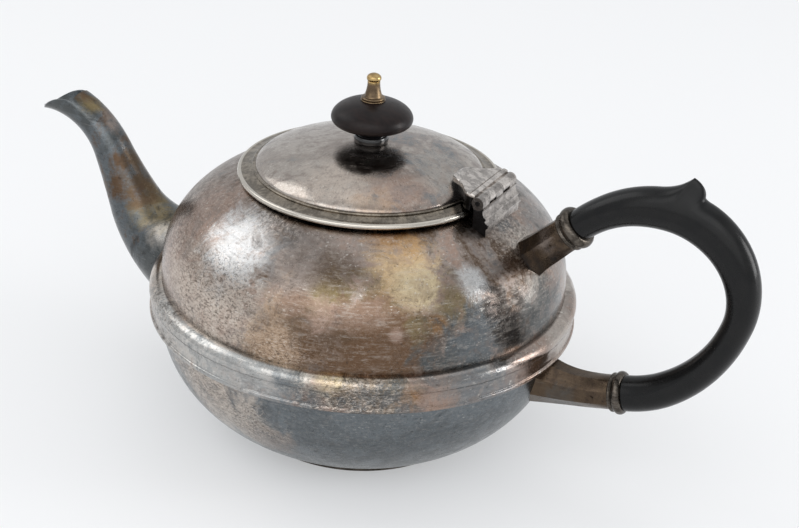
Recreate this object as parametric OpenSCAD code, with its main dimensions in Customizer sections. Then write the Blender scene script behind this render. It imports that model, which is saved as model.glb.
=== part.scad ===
// Round teapot with a hinged lid: a plated shell in two halves, a swan-neck spout and a turned wooden handle.
// Origin: centre of the foot ring, on the surface the pot rests on. +X is the handle side and +Z is up.

/* [Body] */
// Outer radius of the bowl at the seam between its two halves
body_r = 74.7; // [64:0.1:92]
// Height of the seam above the table
seam_z = 50.2; // [46:0.1:58]
// Depth of the full curve that the bowl is cut from
bowl_drop = 55.8; // [53:0.1:64]
// Squareness of the bowl's curve
bowl_power = 2.2; // [2:0.05:2.6]
// Height of the upper shell's widest level above the seam
belly_rise = 10.7; // [9:0.1:16]
// Height of the full curve that the upper shell is cut from
crown_rise = 42.7; // [36:0.1:52]
// Squareness of the upper shell's curve
crown_power = 2.3; // [2:0.05:2.6]
// Thickness of the plated shells
wall = 1.2; // [0.8:0.05:1.6]
// Depth of the lap where the upper shell drops into the bowl
lap = 6.2; // [3:0.1:9]
// Play between the two shells at the lap, and between other soldered pieces
weld_gap = 0.05; // [0.02:0.01:0.1]
// Radius of the mouth
mouth_r = 40.35; // [32:0.05:50]

/* [Foot and girdle] */
// Height of the foot ring
foot_h = 2.3; // [1.5:0.1:4]
// Width of the foot ring's wall
foot_w = 2.1; // [1:0.1:4]
// How far the girdle stands out from the bowl
girdle_proud = 3.3; // [2.4:0.1:5]
// Height of the girdle from its lower edge to its sharp edge
girdle_face_h = 8.1; // [6:0.1:10]
// Height of the rounded shoulder above the sharp edge
girdle_top_h = 4.4; // [3:0.1:6]
// Depth of the girdle's lower edge below the seam
girdle_drop = 4.3; // [3.5:0.1:5]
// Radius of the bead along the girdle's lower edge
girdle_bead_r = 1.1; // [0.8:0.05:1.4]

/* [Mouth collar] */
// Thickness of the collar that lines the mouth
collar_wall = 1; // [0.6:0.05:1.4]
// Depth of the collar below the mouth's edge
collar_depth = 5.5; // [4:0.1:8]
// Width of the collar's flange outside the mouth
flange_w = 1.45; // [1:0.05:2]
// Thickness of the collar's flange
flange_t = 0.6; // [0.4:0.05:1]

/* [Lid] */
// How far the lid's beaded rim reaches outside the mouth
lid_overhang = 6.45; // [5:0.05:9]
// Gap between the closed lid and its seat
lid_gap = 0.15; // [0.1:0.05:0.4]
// Radius of the rim's bead
rim_bead_r = 1; // [0.7:0.05:1.3]
// Height from the lid's seat to the foot of its dome
rim_h = 2.05; // [1.6:0.05:3]
// Distance from the lid's edge in to the foot of its dome
dome_inset = 6.4; // [4.5:0.1:9]
// Height of the dome
dome_h = 9.4; // [6:0.1:16]
// Roundness of the dome
dome_power = 0.65; // [0.5:0.01:0.8]
// Thickness of the dome
dome_wall = 1; // [0.7:0.05:1.4]
// Gap around the bezel, which lets it swing clear of the collar
bezel_gap = 0.6; // [0.5:0.05:1]
// Depth of the bezel below the lid's seat
bezel_depth = 4; // [2:0.1:5]
// Thickness of the bezel
bezel_wall = 1; // [0.6:0.05:1.4]

/* [Knob] */
// Radius of the wooden button
button_r = 14.45; // [10:0.05:18]
// Height of the button above its widest level
button_top = 6.7; // [4:0.1:9]
// Depth of the button below its widest level
button_drop = 2.6; // [1.5:0.1:4]
// Radius of the spool under the button
spool_r = 6.2; // [5:0.1:8]
// Radius of the spool's neck
spool_neck_r = 4.5; // [3.4:0.1:5]
// Height of the spool
spool_h = 6.6; // [5:0.1:9]
// Radius of the finial's disc
finial_disc_r = 4.4; // [3.4:0.1:6]
// Height of the finial above the button
finial_h = 9.9; // [7:0.1:12]
// Radius of the finial's ball
finial_ball_r = 2.57; // [2:0.01:3.2]
// Radius of the screw that runs down through the knob
screw_r = 1.5; // [1.2:0.05:2]
// Play around the screw
screw_gap = 0.05; // [0.03:0.01:0.1]
// Radius of the washer under the dome
washer_r = 4; // [3:0.1:6]
// Thickness of the washer
washer_t = 0.8; // [0.5:0.05:1.2]
// Width across the nut's flats
nut_flats = 5.5; // [4.5:0.1:7]
// Thickness of the nut
nut_t = 2.2; // [1.5:0.1:3]

/* [Hinge] */
// Distance from the lid's edge to the hinge pin
hinge_reach = 1.8; // [1.6:0.1:2.2]
// Height of the hinge pin above the foot of the dome
hinge_rise = 2.6; // [2.2:0.1:3.4]
// Radius of the hinge barrel
barrel_r = 2.2; // [1.8:0.05:2.5]
// Width of the hinge
hinge_w = 27.2; // [20:0.1:34]
// Gap between neighbouring knuckles
knuckle_gap = 0.3; // [0.2:0.05:0.5]
// Radius of the hinge pin
hinge_pin_r = 0.9; // [0.6:0.05:1.2]
// Play around the hinge pin
pin_gap = 0.05; // [0.02:0.01:0.1]
// Gap around the barrel where a leaf is cut away for it
barrel_gap = 0.3; // [0.2:0.05:0.5]
// Thickness of the bracket that carries the pin
bracket_t = 4.6; // [3.6:0.1:6]
// Gap between the lid's edge and the bracket
bracket_gap = 0.6; // [0.4:0.05:1]
// Length of the lid's leaf, from the pin towards the knob
leaf_l = 14.4; // [10:0.1:18]
// Width of the leaf at its narrow end
leaf_tip_w = 11; // [6:0.1:13]
// Height of the leaf's top above the hinge pin
leaf_top = 3; // [2.6:0.1:4]

/* [Spout] */
// Height of the spout's root above the table
spout_z = 44; // [40:0.1:48]
// Outer radius of the spout's root
spout_root_r = 18.6; // [14:0.1:20]
// Outer radius of the spout near its tip
spout_tip_r = 6.5; // [5:0.1:8]
// Thickness of the spout's wall
spout_wall = 1; // [0.7:0.05:1.4]
// How fast the spout narrows
spout_taper = 2.25; // [1.8:0.05:2.8]
// Length of the spout's root outside the bowl
spout_root_l = 4.8; // [4:0.1:8]
// Heading of the spout where its curve starts
spout_heading = 11.5; // [8:0.5:20]
// Radius of the spout's lower bend
spout_bend_r = 34.8; // [30:0.1:46]
// Turn of the spout's lower bend
spout_bend_turn = 48.8; // [38:0.1:56]
// Length of the spout's straighter middle
spout_middle_l = 21.5; // [12:0.1:28]
// Radius of the spout's upper bend
spout_lip_r = 31.6; // [24:0.1:40]
// Length of the upper bend as far as the end of its roof
spout_roof_l = 22.6; // [18:0.1:30]
// Length of the open beak in front of the roof
spout_beak_l = 18; // [12:0.1:22]
// Angle from the spout's crown at which its open beak starts
beak_angle = 60; // [45:1:80]
// Gap between the spout and the girdle
spout_gap = 0.4; // [0.3:0.05:0.8]
// Radius of the strainer holes behind the spout
strainer_r = 1.6; // [1:0.1:2]
// Spacing of the strainer holes
strainer_pitch = 5.4; // [4.6:0.1:6]
// Number of rings of strainer holes around the middle one
strainer_rings = 2; // [1:1:2]

/* [Handle] */
// How far the upper ferrule stands outside the bowl's radius
handle_out = 2.2; // [1:0.1:8]
// Height of the upper ferrule above the mouth's edge
handle_up = -2.8; // [-5:0.1:2]
// Heading of the upper socket
handle_heading = 45; // [38:0.5:52]
// Scale of the handle's loop
handle_scale = 1; // [0.9:0.01:1.15]
// Half thickness of the handle at the upper ferrule
grip_start_r = 5.6; // [5:0.1:7]
// Half thickness of the handle under the thumb rest
grip_swell_r = 7.6; // [6.4:0.1:9]
// Half thickness of the handle at its slimmest
grip_waist_r = 5.2; // [4.4:0.1:6.4]
// Half thickness of the handle at the lower ferrule
grip_end_r = 6.4; // [5.4:0.1:7.4]
// Half width of the handle from side to side
grip_side_r = 6; // [5:0.1:7.4]
// Height of the thumb rest above the handle
spur_h = 6.2; // [3:0.1:8]
// Radius of the tenons at the handle's ends
tenon_r = 4.4; // [3.4:0.1:4.6]
// Length of the tenons inside their sockets
tenon_l = 11; // [8:0.1:13]
// Play around the tenons
tenon_gap = 0.05; // [0.03:0.01:0.1]
// Radius of the pins through the sockets
cross_pin_r = 0.8; // [0.6:0.05:1.1]
// Distance from the ferrule to the pin in its socket
cross_pin_in = 6; // [4:0.1:8]

/* [Sockets and ferrules] */
// Radius of each socket at its ferrule
socket_r = 6.15; // [5.6:0.05:7]
// Radius of the upper socket at the bowl
upper_socket_root_r = 6.9; // [6.2:0.1:9]
// Radius of the lower socket at the bowl
lower_socket_root_r = 8.6; // [6.6:0.1:10]
// Drop of the lower socket between its ferrule and the bowl
lower_socket_drop = 6.3; // [3:0.1:9]
// Length of the upper ferrule
upper_ferrule_l = 6; // [4:0.1:7]
// Length of the lower ferrule
lower_ferrule_l = 5; // [3.5:0.1:6]
// Radius over each ferrule's bead
ferrule_r = 7.6; // [6.9:0.1:8.6]

/* [Hidden] */

$fn = 96;
plate = [0.56, 0.52, 0.49];
plate_dark = [0.33, 0.35, 0.37];
ebony = [0.08, 0.08, 0.085];
brass = [0.68, 0.52, 0.26];
through = 1;
curve_steps = 22;

// Body levels
upper_r = body_r - wall - weld_gap;
belly_z = seam_z + belly_rise;
mouth_z = crown_z(mouth_r);
bowl_base_r = bowl_r(foot_h);

// Girdle profile
girdle_r = body_r + girdle_proud;
girdle_low_z = seam_z - girdle_drop;
girdle_edge_z = girdle_low_z + girdle_face_h;
girdle_in_r = upper_r + weld_gap;
girdle_bead_drop = 0.1;
girdle_bead_z = girdle_low_z + girdle_bead_r - girdle_bead_drop;
girdle_hollow = 0.7;
girdle_hollow_h = 5.1;

// Lid
lid_r = mouth_r + lid_overhang;
dome_r = lid_r - dome_inset;
collar_r = mouth_r - weld_gap;
collar_in_r = collar_r - collar_wall;
flange_z = mouth_z + weld_gap;
lid_z = flange_z + flange_t + lid_gap;
bezel_r = collar_in_r - bezel_gap;
dome_z = lid_z + rim_h;
dome_top_z = dome_z + dome_h;
dome_foot_w = 1.2;
rim_edge_h = 0.5;
rim_flat_w = 0.8;
rim_web_t = 1;
rim_bead_drop = 0.55;

// Knob levels
spool_sink = 0.3;
spool_z = dome_top_z - spool_sink;
button_z = spool_z + spool_h + button_drop;
finial_sink = 0.4;
finial_z = button_z + button_top - finial_sink;
finial_top_z = finial_z + finial_h;
washer_z = dome_z - dome_wall + dome_h * dome_shape(washer_r / (dome_r - dome_wall)) - washer_t;
nut_z = washer_z - nut_t;

// Hinge
pin_x = lid_r + hinge_reach;
pin_z = dome_z + hinge_rise;
knuckles = 5;
knuckle_w = hinge_w / knuckles;
bracket_x = lid_r + bracket_gap;
bracket_low = 12;
knuckle_web_l = 1;

// Spout
spout_x = body_r + spout_root_l;
spout_lift = 0.6;
spout_start = [spout_x, spout_z + spout_lift, spout_heading];
spout_straight_r = 500;
spout_straight_turn = spout_middle_l / spout_straight_r * 180 / PI;
spout_arcs = [
    [spout_bend_r, spout_bend_turn],
    [spout_straight_r, spout_straight_turn],
    [spout_lip_r, -60]
];
spout_bend_l = spout_bend_r * spout_bend_turn * PI / 180;
spout_crown_s = spout_bend_l + spout_middle_l + spout_roof_l;
spout_sides = 24;
spout_rings = 22;
beak_power = 0.65;
root_hold = 5;

// Handle: its two ends run straight through the ferrules, so its chain of arcs lies between them
handle_start = [body_r + handle_out, mouth_z + handle_up, handle_heading];
grip_start = ahead(handle_start, upper_ferrule_l);
handle_arcs = [
    [48.5 * handle_scale, -13.3],
    [41.2 * handle_scale, -29.9],
    [28.1 * handle_scale, -105.5],
    [52.6 * handle_scale, -41.1],
    [38.2 * handle_scale, -22]
];
handle_l = chain_length(handle_arcs);
handle_end = ahead(chain_at(grip_start, handle_arcs, handle_l), lower_ferrule_l);
swell_s = 0.307 * handle_l;
waist_s = 0.642 * handle_l;
spur_from = 0.226 * handle_l;
spur_peak = 0.303 * handle_l;
spur_to = 0.333 * handle_l;
grip_sides = 24;
grip_rings = 60;
tenon_overlap = 4;
socket_reach = 26;
lower_socket_in = 9;
lower_socket_hold = 12;

// ---- Curves ----

// Radius of the bowl's outside at a height
function bowl_r(z) = body_r * pow(1 - pow((seam_z - z) / bowl_drop, bowl_power), 1 / bowl_power);

// Height of the upper shell's outside at a radius
function crown_z(r) = belly_z + crown_rise * pow(1 - pow(r / upper_r, crown_power), 1 / crown_power);

// Radius of the upper shell's outside at a height
function crown_r(z) =
    z <= belly_z ? upper_r : upper_r * pow(1 - pow((z - belly_z) / crown_rise, crown_power), 1 / crown_power);

// Points down the bowl's curve, set in by a thickness, from the seam to a height
function bowl_curve(inset, end_z) =
    let(r = body_r - inset, drop = bowl_drop - inset)
    let(last = asin(pow((seam_z - end_z) / drop, bowl_power / 2)))
    [for (i = [0:curve_steps])
        let(t = last * i / curve_steps)
        [r * pow(cos(t), 2 / bowl_power), seam_z - drop * pow(sin(t), 2 / bowl_power)]];

// Points up the upper shell's curve, set in by a thickness, from its widest level to the mouth
function crown_curve(inset, end_r) =
    let(r = upper_r - inset, rise = crown_rise - inset)
    let(last = acos(pow(end_r / r, crown_power / 2)))
    [for (i = [0:curve_steps])
        let(t = last * i / curve_steps)
        [r * pow(cos(t), 2 / crown_power), belly_z + rise * pow(sin(t), 2 / crown_power)]];

function reversed(points) = [for (i = [len(points) - 1:-1:0]) points[i]];

// Share of the dome's height at a share of its radius
function dome_shape(share) = pow(1 - share * share, dome_power);

// Points down the dome's curve, from the middle to its foot
function dome_curve(r, foot_z) =
    [for (i = [0:curve_steps])
        let(t = 90 * i / curve_steps)
        [r * sin(t), foot_z + dome_h * dome_shape(sin(t))]];

// Quarter of an ellipse about a centre, from the angle a to the angle b
function ellipse_arc(centre, rx, ry, a, b, steps) =
    [for (i = [0:steps])
        let(t = a + (b - a) * i / steps)
        [centre[0] + rx * cos(t), centre[1] + ry * sin(t)]];

// A chain of tangent arcs: each arc is [radius, turn], and a state is [x, z, heading]
function arc_length(arc) = arc[0] * abs(arc[1]) * PI / 180;

function chain_length(arcs, i = 0) = i == len(arcs) ? 0 : arc_length(arcs[i]) + chain_length(arcs, i + 1);

function arc_step(state, r, turn) =
    let(side = sign(turn), h = state[2])
    [
        state[0] + side * r * (sin(h + turn) - sin(h)),
        state[1] - side * r * (cos(h + turn) - cos(h)),
        h + turn
    ];

function chain_at(state, arcs, s, i = 0) =
    let(l = arc_length(arcs[i]))
    s <= l || i == len(arcs) - 1
        ? arc_step(state, arcs[i][0], arcs[i][1] * s / l)
        : chain_at(arc_step(state, arcs[i][0], arcs[i][1]), arcs, s - l, i + 1);

// A state moved straight along its heading
function ahead(state, l) = [state[0] + l * cos(state[2]), state[1] + l * sin(state[2]), state[2]];

// Smooth step between two values
function eased(a, b, share) = a + (b - a) * (1 - cos(180 * min(1, max(0, share)))) / 2;

// ---- Spout surface ----

function spout_r(s) =
    let(left = 1 - min(1, s / spout_crown_s))
    spout_tip_r + (spout_root_r - spout_tip_r) * pow(left, spout_taper);

// Radius of the pot's wall that the spout's root sits on
function root_wall_r(z) = z < seam_z + root_hold ? bowl_r(min(z, seam_z)) : crown_r(z);

// How far along the spout its rim lies, at an angle from the crown
function beak_s(angle) =
    let(a = min(angle, 360 - angle))
    let(share = max(0, (a - beak_angle) / (180 - beak_angle)))
    spout_crown_s + spout_beak_l * pow(share, beak_power);

function root_point(angle, inset) =
    let(y = (spout_root_r - inset) * sin(angle))
    let(z = spout_z + (spout_root_r - inset) * cos(angle))
    [-sqrt(pow(root_wall_r(z) + weld_gap, 2) - y * y), y, z];

function spout_point(s, angle, inset) =
    let(c = chain_at(spout_start, spout_arcs, s), r = spout_r(s) - inset)
    [r * cos(angle) * sin(c[2]) - c[0], r * sin(angle), c[1] + r * cos(angle) * cos(c[2])];

function spout_skin(inset) =
    [for (i = [0:spout_rings]) for (j = [0:spout_sides - 1])
        let(angle = 360 * j / spout_sides)
        i == 0 ? root_point(angle, inset)
            : spout_point(beak_s(angle) * (i - 1) / (spout_rings - 1), angle, inset)];

// ---- Handle surface ----

function grip_r(s) =
    s < swell_s ? eased(grip_start_r, grip_swell_r, s / swell_s)
        : s < waist_s ? eased(grip_swell_r, grip_waist_r, (s - swell_s) / (waist_s - swell_s))
        : eased(grip_waist_r, grip_end_r, (s - waist_s) / (handle_l - waist_s));

// Height of the thumb rest along the handle: a hollow ramp up to its tip, then a short drop
function spur(s) =
    s < spur_from || s > spur_to ? 0
        : s < spur_peak ? spur_h * pow((s - spur_from) / (spur_peak - spur_from), 2)
        : spur_h * pow((spur_to - s) / (spur_to - spur_peak), 0.6);

function grip_point(s, angle) =
    let(c = chain_at(grip_start, handle_arcs, s))
    let(out = grip_r(s) * cos(angle) + spur(s) * pow(max(0, cos(angle)), 6))
    [c[0] - out * sin(c[2]), grip_side_r * sin(angle), c[1] + out * cos(c[2])];

// ---- Sweeps ----

function ring_side(a, b, j, n) =
    let(k = (j + 1) % n)
    [[a + j, b + k, a + k], [a + j, b + j, b + k]];

function flipped(faces) = [for (f = faces) [f[2], f[1], f[0]]];

function skin_faces(rings, n, base) =
    [for (i = [0:rings - 1]) for (j = [0:n - 1])
        each ring_side(base + i * n, base + (i + 1) * n, j, n)];

// Closed tube with a wall: an outer skin, an inner skin and a ring at each end
module tube_wall(outer, inner, rings, n) {
    base = len(outer);
    root = [for (j = [0:n - 1]) each ring_side(base, 0, j, n)];
    rim = [for (j = [0:n - 1]) each ring_side(rings * n, base + rings * n, j, n)];
    faces = concat(skin_faces(rings, n, 0), flipped(skin_faces(rings, n, base)), root, rim);
    polyhedron(points = concat(outer, inner), faces = faces, convexity = 8);
}

// Closed bar: one skin and a flat face at each end
module solid_bar(skin, rings, n) {
    first = [for (j = [1:n - 2]) [0, j + 1, j]];
    last = [for (j = [1:n - 2]) [rings * n, rings * n + j, rings * n + j + 1]];
    faces = concat(flipped(skin_faces(rings, n, 0)), first, last);
    polyhedron(points = skin, faces = faces, convexity = 8);
}

// ---- Helpers ----

// Places children at a state of a chain in the XZ plane, with their Z axis along its heading
module along(state) {
    translate([state[0], 0, state[1]]) rotate([0, 90 - state[2], 0]) children();
}

// Cylinder along Y about a point of the XZ plane
module cross_cylinder(x, z, r, w) {
    translate([x, 0, z]) rotate([90, 0, 0]) cylinder(h = w, r = r, center = true);
}

// Pad of an XZ outline that runs across the pot
module cross_pad(w) {
    rotate([90, 0, 0]) linear_extrude(height = w, center = true) children();
}

// Profile of the girdle, with its inner side on both shells
module girdle_profile() {
    shoulder = ellipse_arc([girdle_in_r, girdle_edge_z], girdle_r - girdle_in_r, girdle_top_h, 0, 90, 10);
    polygon(concat(
        [
            [girdle_in_r, seam_z + weld_gap],
            [body_r + weld_gap, seam_z + weld_gap],
            [body_r + weld_gap, girdle_low_z],
            [girdle_r - girdle_bead_r, girdle_low_z],
            [girdle_r - girdle_hollow, girdle_bead_z + girdle_bead_r],
            [girdle_r - girdle_hollow, girdle_low_z + girdle_hollow_h]
        ],
        shoulder));
    translate([girdle_r - girdle_bead_r, girdle_bead_z]) circle(r = girdle_bead_r);
}

// Solid outline of both shells, for cutting what is soldered onto them
module pot_core() {
    rotate_extrude() polygon(concat(
        [[0, foot_h]],
        reversed(bowl_curve(-weld_gap, foot_h)),
        [[upper_r + weld_gap, seam_z]],
        crown_curve(-weld_gap, mouth_r),
        [[0, mouth_z]]));
}

// Solid ring that the girdle fills, for cutting a socket that meets it
module girdle_core() {
    low_z = girdle_low_z - girdle_bead_drop - weld_gap;
    high_z = girdle_edge_z + girdle_top_h + weld_gap;
    difference() {
        translate([0, 0, low_z]) cylinder(h = high_z - low_z, r = girdle_r + weld_gap);
        translate([0, 0, girdle_low_z - through]) cylinder(h = 2 * lap + girdle_face_h, r = body_r - wall);
    }
}

// Solid outline of the lid's dome
module dome_core(play) {
    rotate_extrude() polygon(concat([[0, dome_z - through]], dome_curve(dome_r + play, dome_z + play),
        [[dome_r + play, dome_z - through]]));
}

// Holes of the strainer, through both shells behind the spout
module strainer_holes() {
    depth = 30;
    for (ring = [0:strainer_rings]) {
        count = ring == 0 ? 1 : 6 * ring;
        for (k = [0:count - 1]) {
            angle = 360 * k / count;
            y = ring * strainer_pitch * sin(angle);
            z = spout_z + ring * strainer_pitch * cos(angle);
            translate([-body_r + depth / 2, y, z]) rotate([0, -90, 0])
                cylinder(h = depth, r = strainer_r, $fn = 32);
        }
    }
}

// ---- Pot ----

module lower_bowl() {
    ledge_z = seam_z - lap - weld_gap;
    color(plate_dark) difference() {
        rotate_extrude() polygon(concat(
            [[0, foot_h]],
            reversed(bowl_curve(0, foot_h)),
            bowl_curve(wall, foot_h + wall),
            [[0, foot_h + wall]]));
        translate([0, 0, ledge_z]) cylinder(h = lap + through, r = body_r - wall);
        strainer_holes();
    }
}

module foot_ring() {
    color(plate_dark) rotate_extrude() translate([bowl_base_r - foot_w, 0]) square([foot_w, foot_h - weld_gap]);
}

module upper_body() {
    lap_z = seam_z - lap;
    color(plate) difference() {
        rotate_extrude() polygon(concat(
            [[upper_r, lap_z]],
            crown_curve(0, mouth_r),
            reversed(crown_curve(wall, mouth_r)),
            [[upper_r - wall, lap_z]]));
        strainer_holes();
    }
}

module girdle_band() {
    color(plate) difference() {
        rotate_extrude() girdle_profile();
        translate([-girdle_r - through, 0, spout_z]) rotate([0, 90, 0])
            cylinder(h = girdle_r, r = spout_root_r + spout_gap);
    }
}

module mouth_collar() {
    low_z = mouth_z - collar_depth;
    flange_r = mouth_r + flange_w;
    color(plate) rotate_extrude() polygon([
        [collar_in_r, low_z],
        [collar_r, low_z],
        [collar_r, flange_z],
        [flange_r, flange_z],
        [flange_r, flange_z + flange_t],
        [collar_in_r, flange_z + flange_t]
    ]);
}

module spout() {
    color(plate_dark) tube_wall(spout_skin(0), spout_skin(spout_wall), spout_rings, spout_sides);
}

// ---- Handle ----

module tenon_bore(state) {
    along(state) translate([0, 0, -tenon_l - tenon_gap])
        cylinder(h = tenon_l + through, r = tenon_r + tenon_gap);
}

module cross_pin_hole(state, play) {
    spot = pin_spot(state);
    cross_cylinder(spot[0], spot[1], cross_pin_r + play, 4 * socket_r);
}

// State of a chain turned to face the other way
function facing_back(state) = [state[0], state[1], state[2] + 180];

// Place of a cross pin, in its socket behind a ferrule
function pin_spot(state) =
    [state[0] - cross_pin_in * cos(state[2]), state[1] - cross_pin_in * sin(state[2])];

module upper_socket() {
    color(plate) difference() {
        along(handle_start) translate([0, 0, -socket_reach])
            cylinder(h = socket_reach, r1 = upper_socket_root_r, r2 = socket_r);
        pot_core();
        tenon_bore(handle_start);
        cross_pin_hole(handle_start, 0);
    }
}

module lower_socket() {
    back = facing_back(handle_end);
    root_x = body_r - lower_socket_in;
    run = handle_end[0] - root_x;
    tilt = atan(lower_socket_drop / run);
    length = run / cos(tilt);
    color(plate) difference() {
        along([handle_end[0], handle_end[1], tilt]) translate([0, 0, -length]) {
            cylinder(h = length, r1 = lower_socket_root_r, r2 = socket_r);
            translate([0, 0, -lower_socket_hold]) cylinder(h = lower_socket_hold, r = lower_socket_root_r);
        }
        pot_core();
        girdle_core();
        tenon_bore(back);
        cross_pin_hole(back, 0);
        along(back) translate([0, 0, weld_gap]) cylinder(h = lower_ferrule_l, r = 2 * socket_r);
    }
}

// Turned ring between a socket and the handle: a thin fillet, then a fat bead
module ferrule(length) {
    fillet_l = 1.1;
    fillet_proud = 0.5;
    bead_l = length - fillet_l - 2 * weld_gap;
    bead_z = fillet_l + weld_gap + bead_l / 2;
    sleeve_min_w = 0.5;
    sleeve_w = max(sleeve_min_w, ferrule_r - bead_l / 2 - tenon_r);
    rotate_extrude() {
        translate([tenon_r + tenon_gap, weld_gap])
            square([socket_r + fillet_proud - tenon_r, fillet_l]);
        difference() {
            translate([ferrule_r - bead_l / 2, bead_z]) circle(d = bead_l);
            translate([0, bead_z - bead_l]) square([tenon_r + tenon_gap, 2 * bead_l]);
        }
        translate([tenon_r + tenon_gap, weld_gap])
            square([sleeve_w, length - 2 * weld_gap]);
    }
}

module upper_ferrule() {
    color(plate_dark) along(handle_start) ferrule(upper_ferrule_l);
}

module lower_ferrule() {
    color(plate_dark) along(facing_back(handle_end)) ferrule(lower_ferrule_l);
}

module tenon(state, ferrule_l) {
    difference() {
        along(state) translate([0, 0, -tenon_l]) cylinder(h = tenon_l + ferrule_l + tenon_overlap, r = tenon_r);
        cross_pin_hole(state, 0);
    }
}

module handle() {
    skin = [for (i = [0:grip_rings]) for (j = [0:grip_sides - 1])
        grip_point(handle_l * i / grip_rings, 360 * j / grip_sides)];
    color(ebony) {
        solid_bar(skin, grip_rings, grip_sides);
        tenon(handle_start, upper_ferrule_l);
        tenon(facing_back(handle_end), lower_ferrule_l);
    }
}

// Pin through a socket and its tenon, cut off flush with the socket's sides
module cross_pin(state) {
    spot = pin_spot(state);
    color(plate) cross_cylinder(spot[0], spot[1], cross_pin_r - tenon_gap / 2, 2 * socket_r);
}

module upper_handle_pin() {
    cross_pin(handle_start);
}

module lower_handle_pin() {
    cross_pin(facing_back(handle_end));
}

// ---- Hinge ----

module knuckle(i) {
    translate([pin_x, -hinge_w / 2 + i * knuckle_w + knuckle_gap / 2, pin_z]) rotate([-90, 0, 0])
        cylinder(h = knuckle_w - knuckle_gap, r = barrel_r);
}

// Slab over one knuckle's width, from an XZ corner to another
module knuckle_web(i, low, high) {
    translate([low[0], -hinge_w / 2 + i * knuckle_w + knuckle_gap / 2, low[1]])
        cube([high[0] - low[0], knuckle_w - knuckle_gap, high[1] - low[1]]);
}

module hinge_bracket() {
    back_x = bracket_x + bracket_t;
    flare = 1;
    foot_z = pin_z - 6.2;
    neck_z = pin_z - 5.4;
    shoulder_z = pin_z - 2.6;
    cradle_z = pin_z - 1.6;
    color(plate) difference() {
        union() {
            difference() {
                cross_pad(hinge_w) polygon([
                    [bracket_x, pin_z - bracket_low],
                    [back_x + flare, pin_z - bracket_low],
                    [back_x + flare, foot_z],
                    [back_x, neck_z],
                    [back_x, shoulder_z],
                    [back_x - flare, cradle_z],
                    [back_x - flare, pin_z],
                    [bracket_x, pin_z]
                ]);
                cross_cylinder(pin_x, pin_z, barrel_r + barrel_gap, hinge_w + through);
            }
            for (i = [0:2:knuckles - 1]) {
                knuckle(i);
                knuckle_web(i, [pin_x, pin_z - barrel_r - knuckle_web_l], [back_x - flare, pin_z]);
            }
        }
        cross_cylinder(pin_x, pin_z, hinge_pin_r + pin_gap, hinge_w + through);
        pot_core();
    }
}

module hinge_pin() {
    color(plate) cross_cylinder(pin_x, pin_z, hinge_pin_r, hinge_w);
}

// Outline of the leaf, seen from above: bell shaped, with its narrow end towards the knob
module leaf_outline() {
    tip_l = 2;
    waist_l = 6;
    tip_x = pin_x - leaf_l + tip_l;
    waist = ellipse_arc([tip_x + waist_l, hinge_w / 2], waist_l, (hinge_w - leaf_tip_w) / 2, 180, 270, 8);
    tip = ellipse_arc([tip_x, 0], tip_l, leaf_tip_w / 2, 180, 90, 6);
    side = concat(tip, waist, [[pin_x - barrel_r, hinge_w / 2]]);
    polygon(concat(side, [for (p = reversed(side)) [p[0], -p[1]]]));
}

module hinge_leaf() {
    sink = 0.5;
    low_z = dome_z - sink;
    color(plate) difference() {
        union() {
            difference() {
                translate([0, 0, low_z]) linear_extrude(height = pin_z + leaf_top - low_z) leaf_outline();
                cross_cylinder(pin_x, pin_z, barrel_r + barrel_gap, hinge_w + through);
            }
            for (i = [1:2:knuckles - 2]) {
                knuckle(i);
                knuckle_web(i, [pin_x - barrel_r - knuckle_web_l, pin_z - knuckle_web_l], [pin_x, pin_z + barrel_r]);
            }
        }
        cross_cylinder(pin_x, pin_z, hinge_pin_r + pin_gap, hinge_w + through);
        dome_core(weld_gap);
        lid_rim_core();
    }
}

// ---- Lid ----

module lid_dome() {
    color(plate) difference() {
        rotate_extrude() polygon(concat(
            dome_curve(dome_r, dome_z),
            reversed(dome_curve(dome_r - dome_wall, dome_z - dome_wall))));
        translate([0, 0, dome_z]) cylinder(h = 2 * dome_h, r = screw_r + screw_gap);
        translate([0, 0, dome_z - 2 * through]) cylinder(h = 2 * through, r = dome_r + through);
    }
}

// Solid disc that the rim's top fills, for cutting the hinge's leaf
module lid_rim_core() {
    rotate_extrude() polygon(concat(
        [[0, lid_z], [lid_r, lid_z], [lid_r, lid_z + rim_edge_h]],
        rim_cove(weld_gap),
        [[0, dome_z + weld_gap]]));
}

// Hollow curve from the rim's bead up to the foot of the dome
function rim_cove(play) =
    [for (i = [0:6])
        let(share = i / 6)
        [
            lid_r - rim_flat_w - (lid_r - dome_r - rim_flat_w - play) * share,
            lid_z + rim_edge_h + (rim_h - rim_edge_h) * pow(share, 2) + play
        ]];

module lid_rim() {
    color(plate) rotate_extrude() {
        polygon(concat(
            [[bezel_r - bezel_wall, lid_z], [lid_r - rim_bead_r, lid_z]],
            rim_cove(0),
            [
                [dome_r - dome_foot_w, dome_z - weld_gap],
                [dome_r - dome_foot_w, lid_z + rim_web_t],
                [bezel_r - bezel_wall, lid_z + rim_web_t]
            ]));
        translate([lid_r - rim_bead_r, lid_z - rim_bead_drop]) circle(r = rim_bead_r);
    }
}

module lid_bezel() {
    color(plate) rotate_extrude() translate([bezel_r - bezel_wall, lid_z - bezel_depth])
        square([bezel_wall, bezel_depth - weld_gap]);
}

// ---- Knob ----

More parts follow.
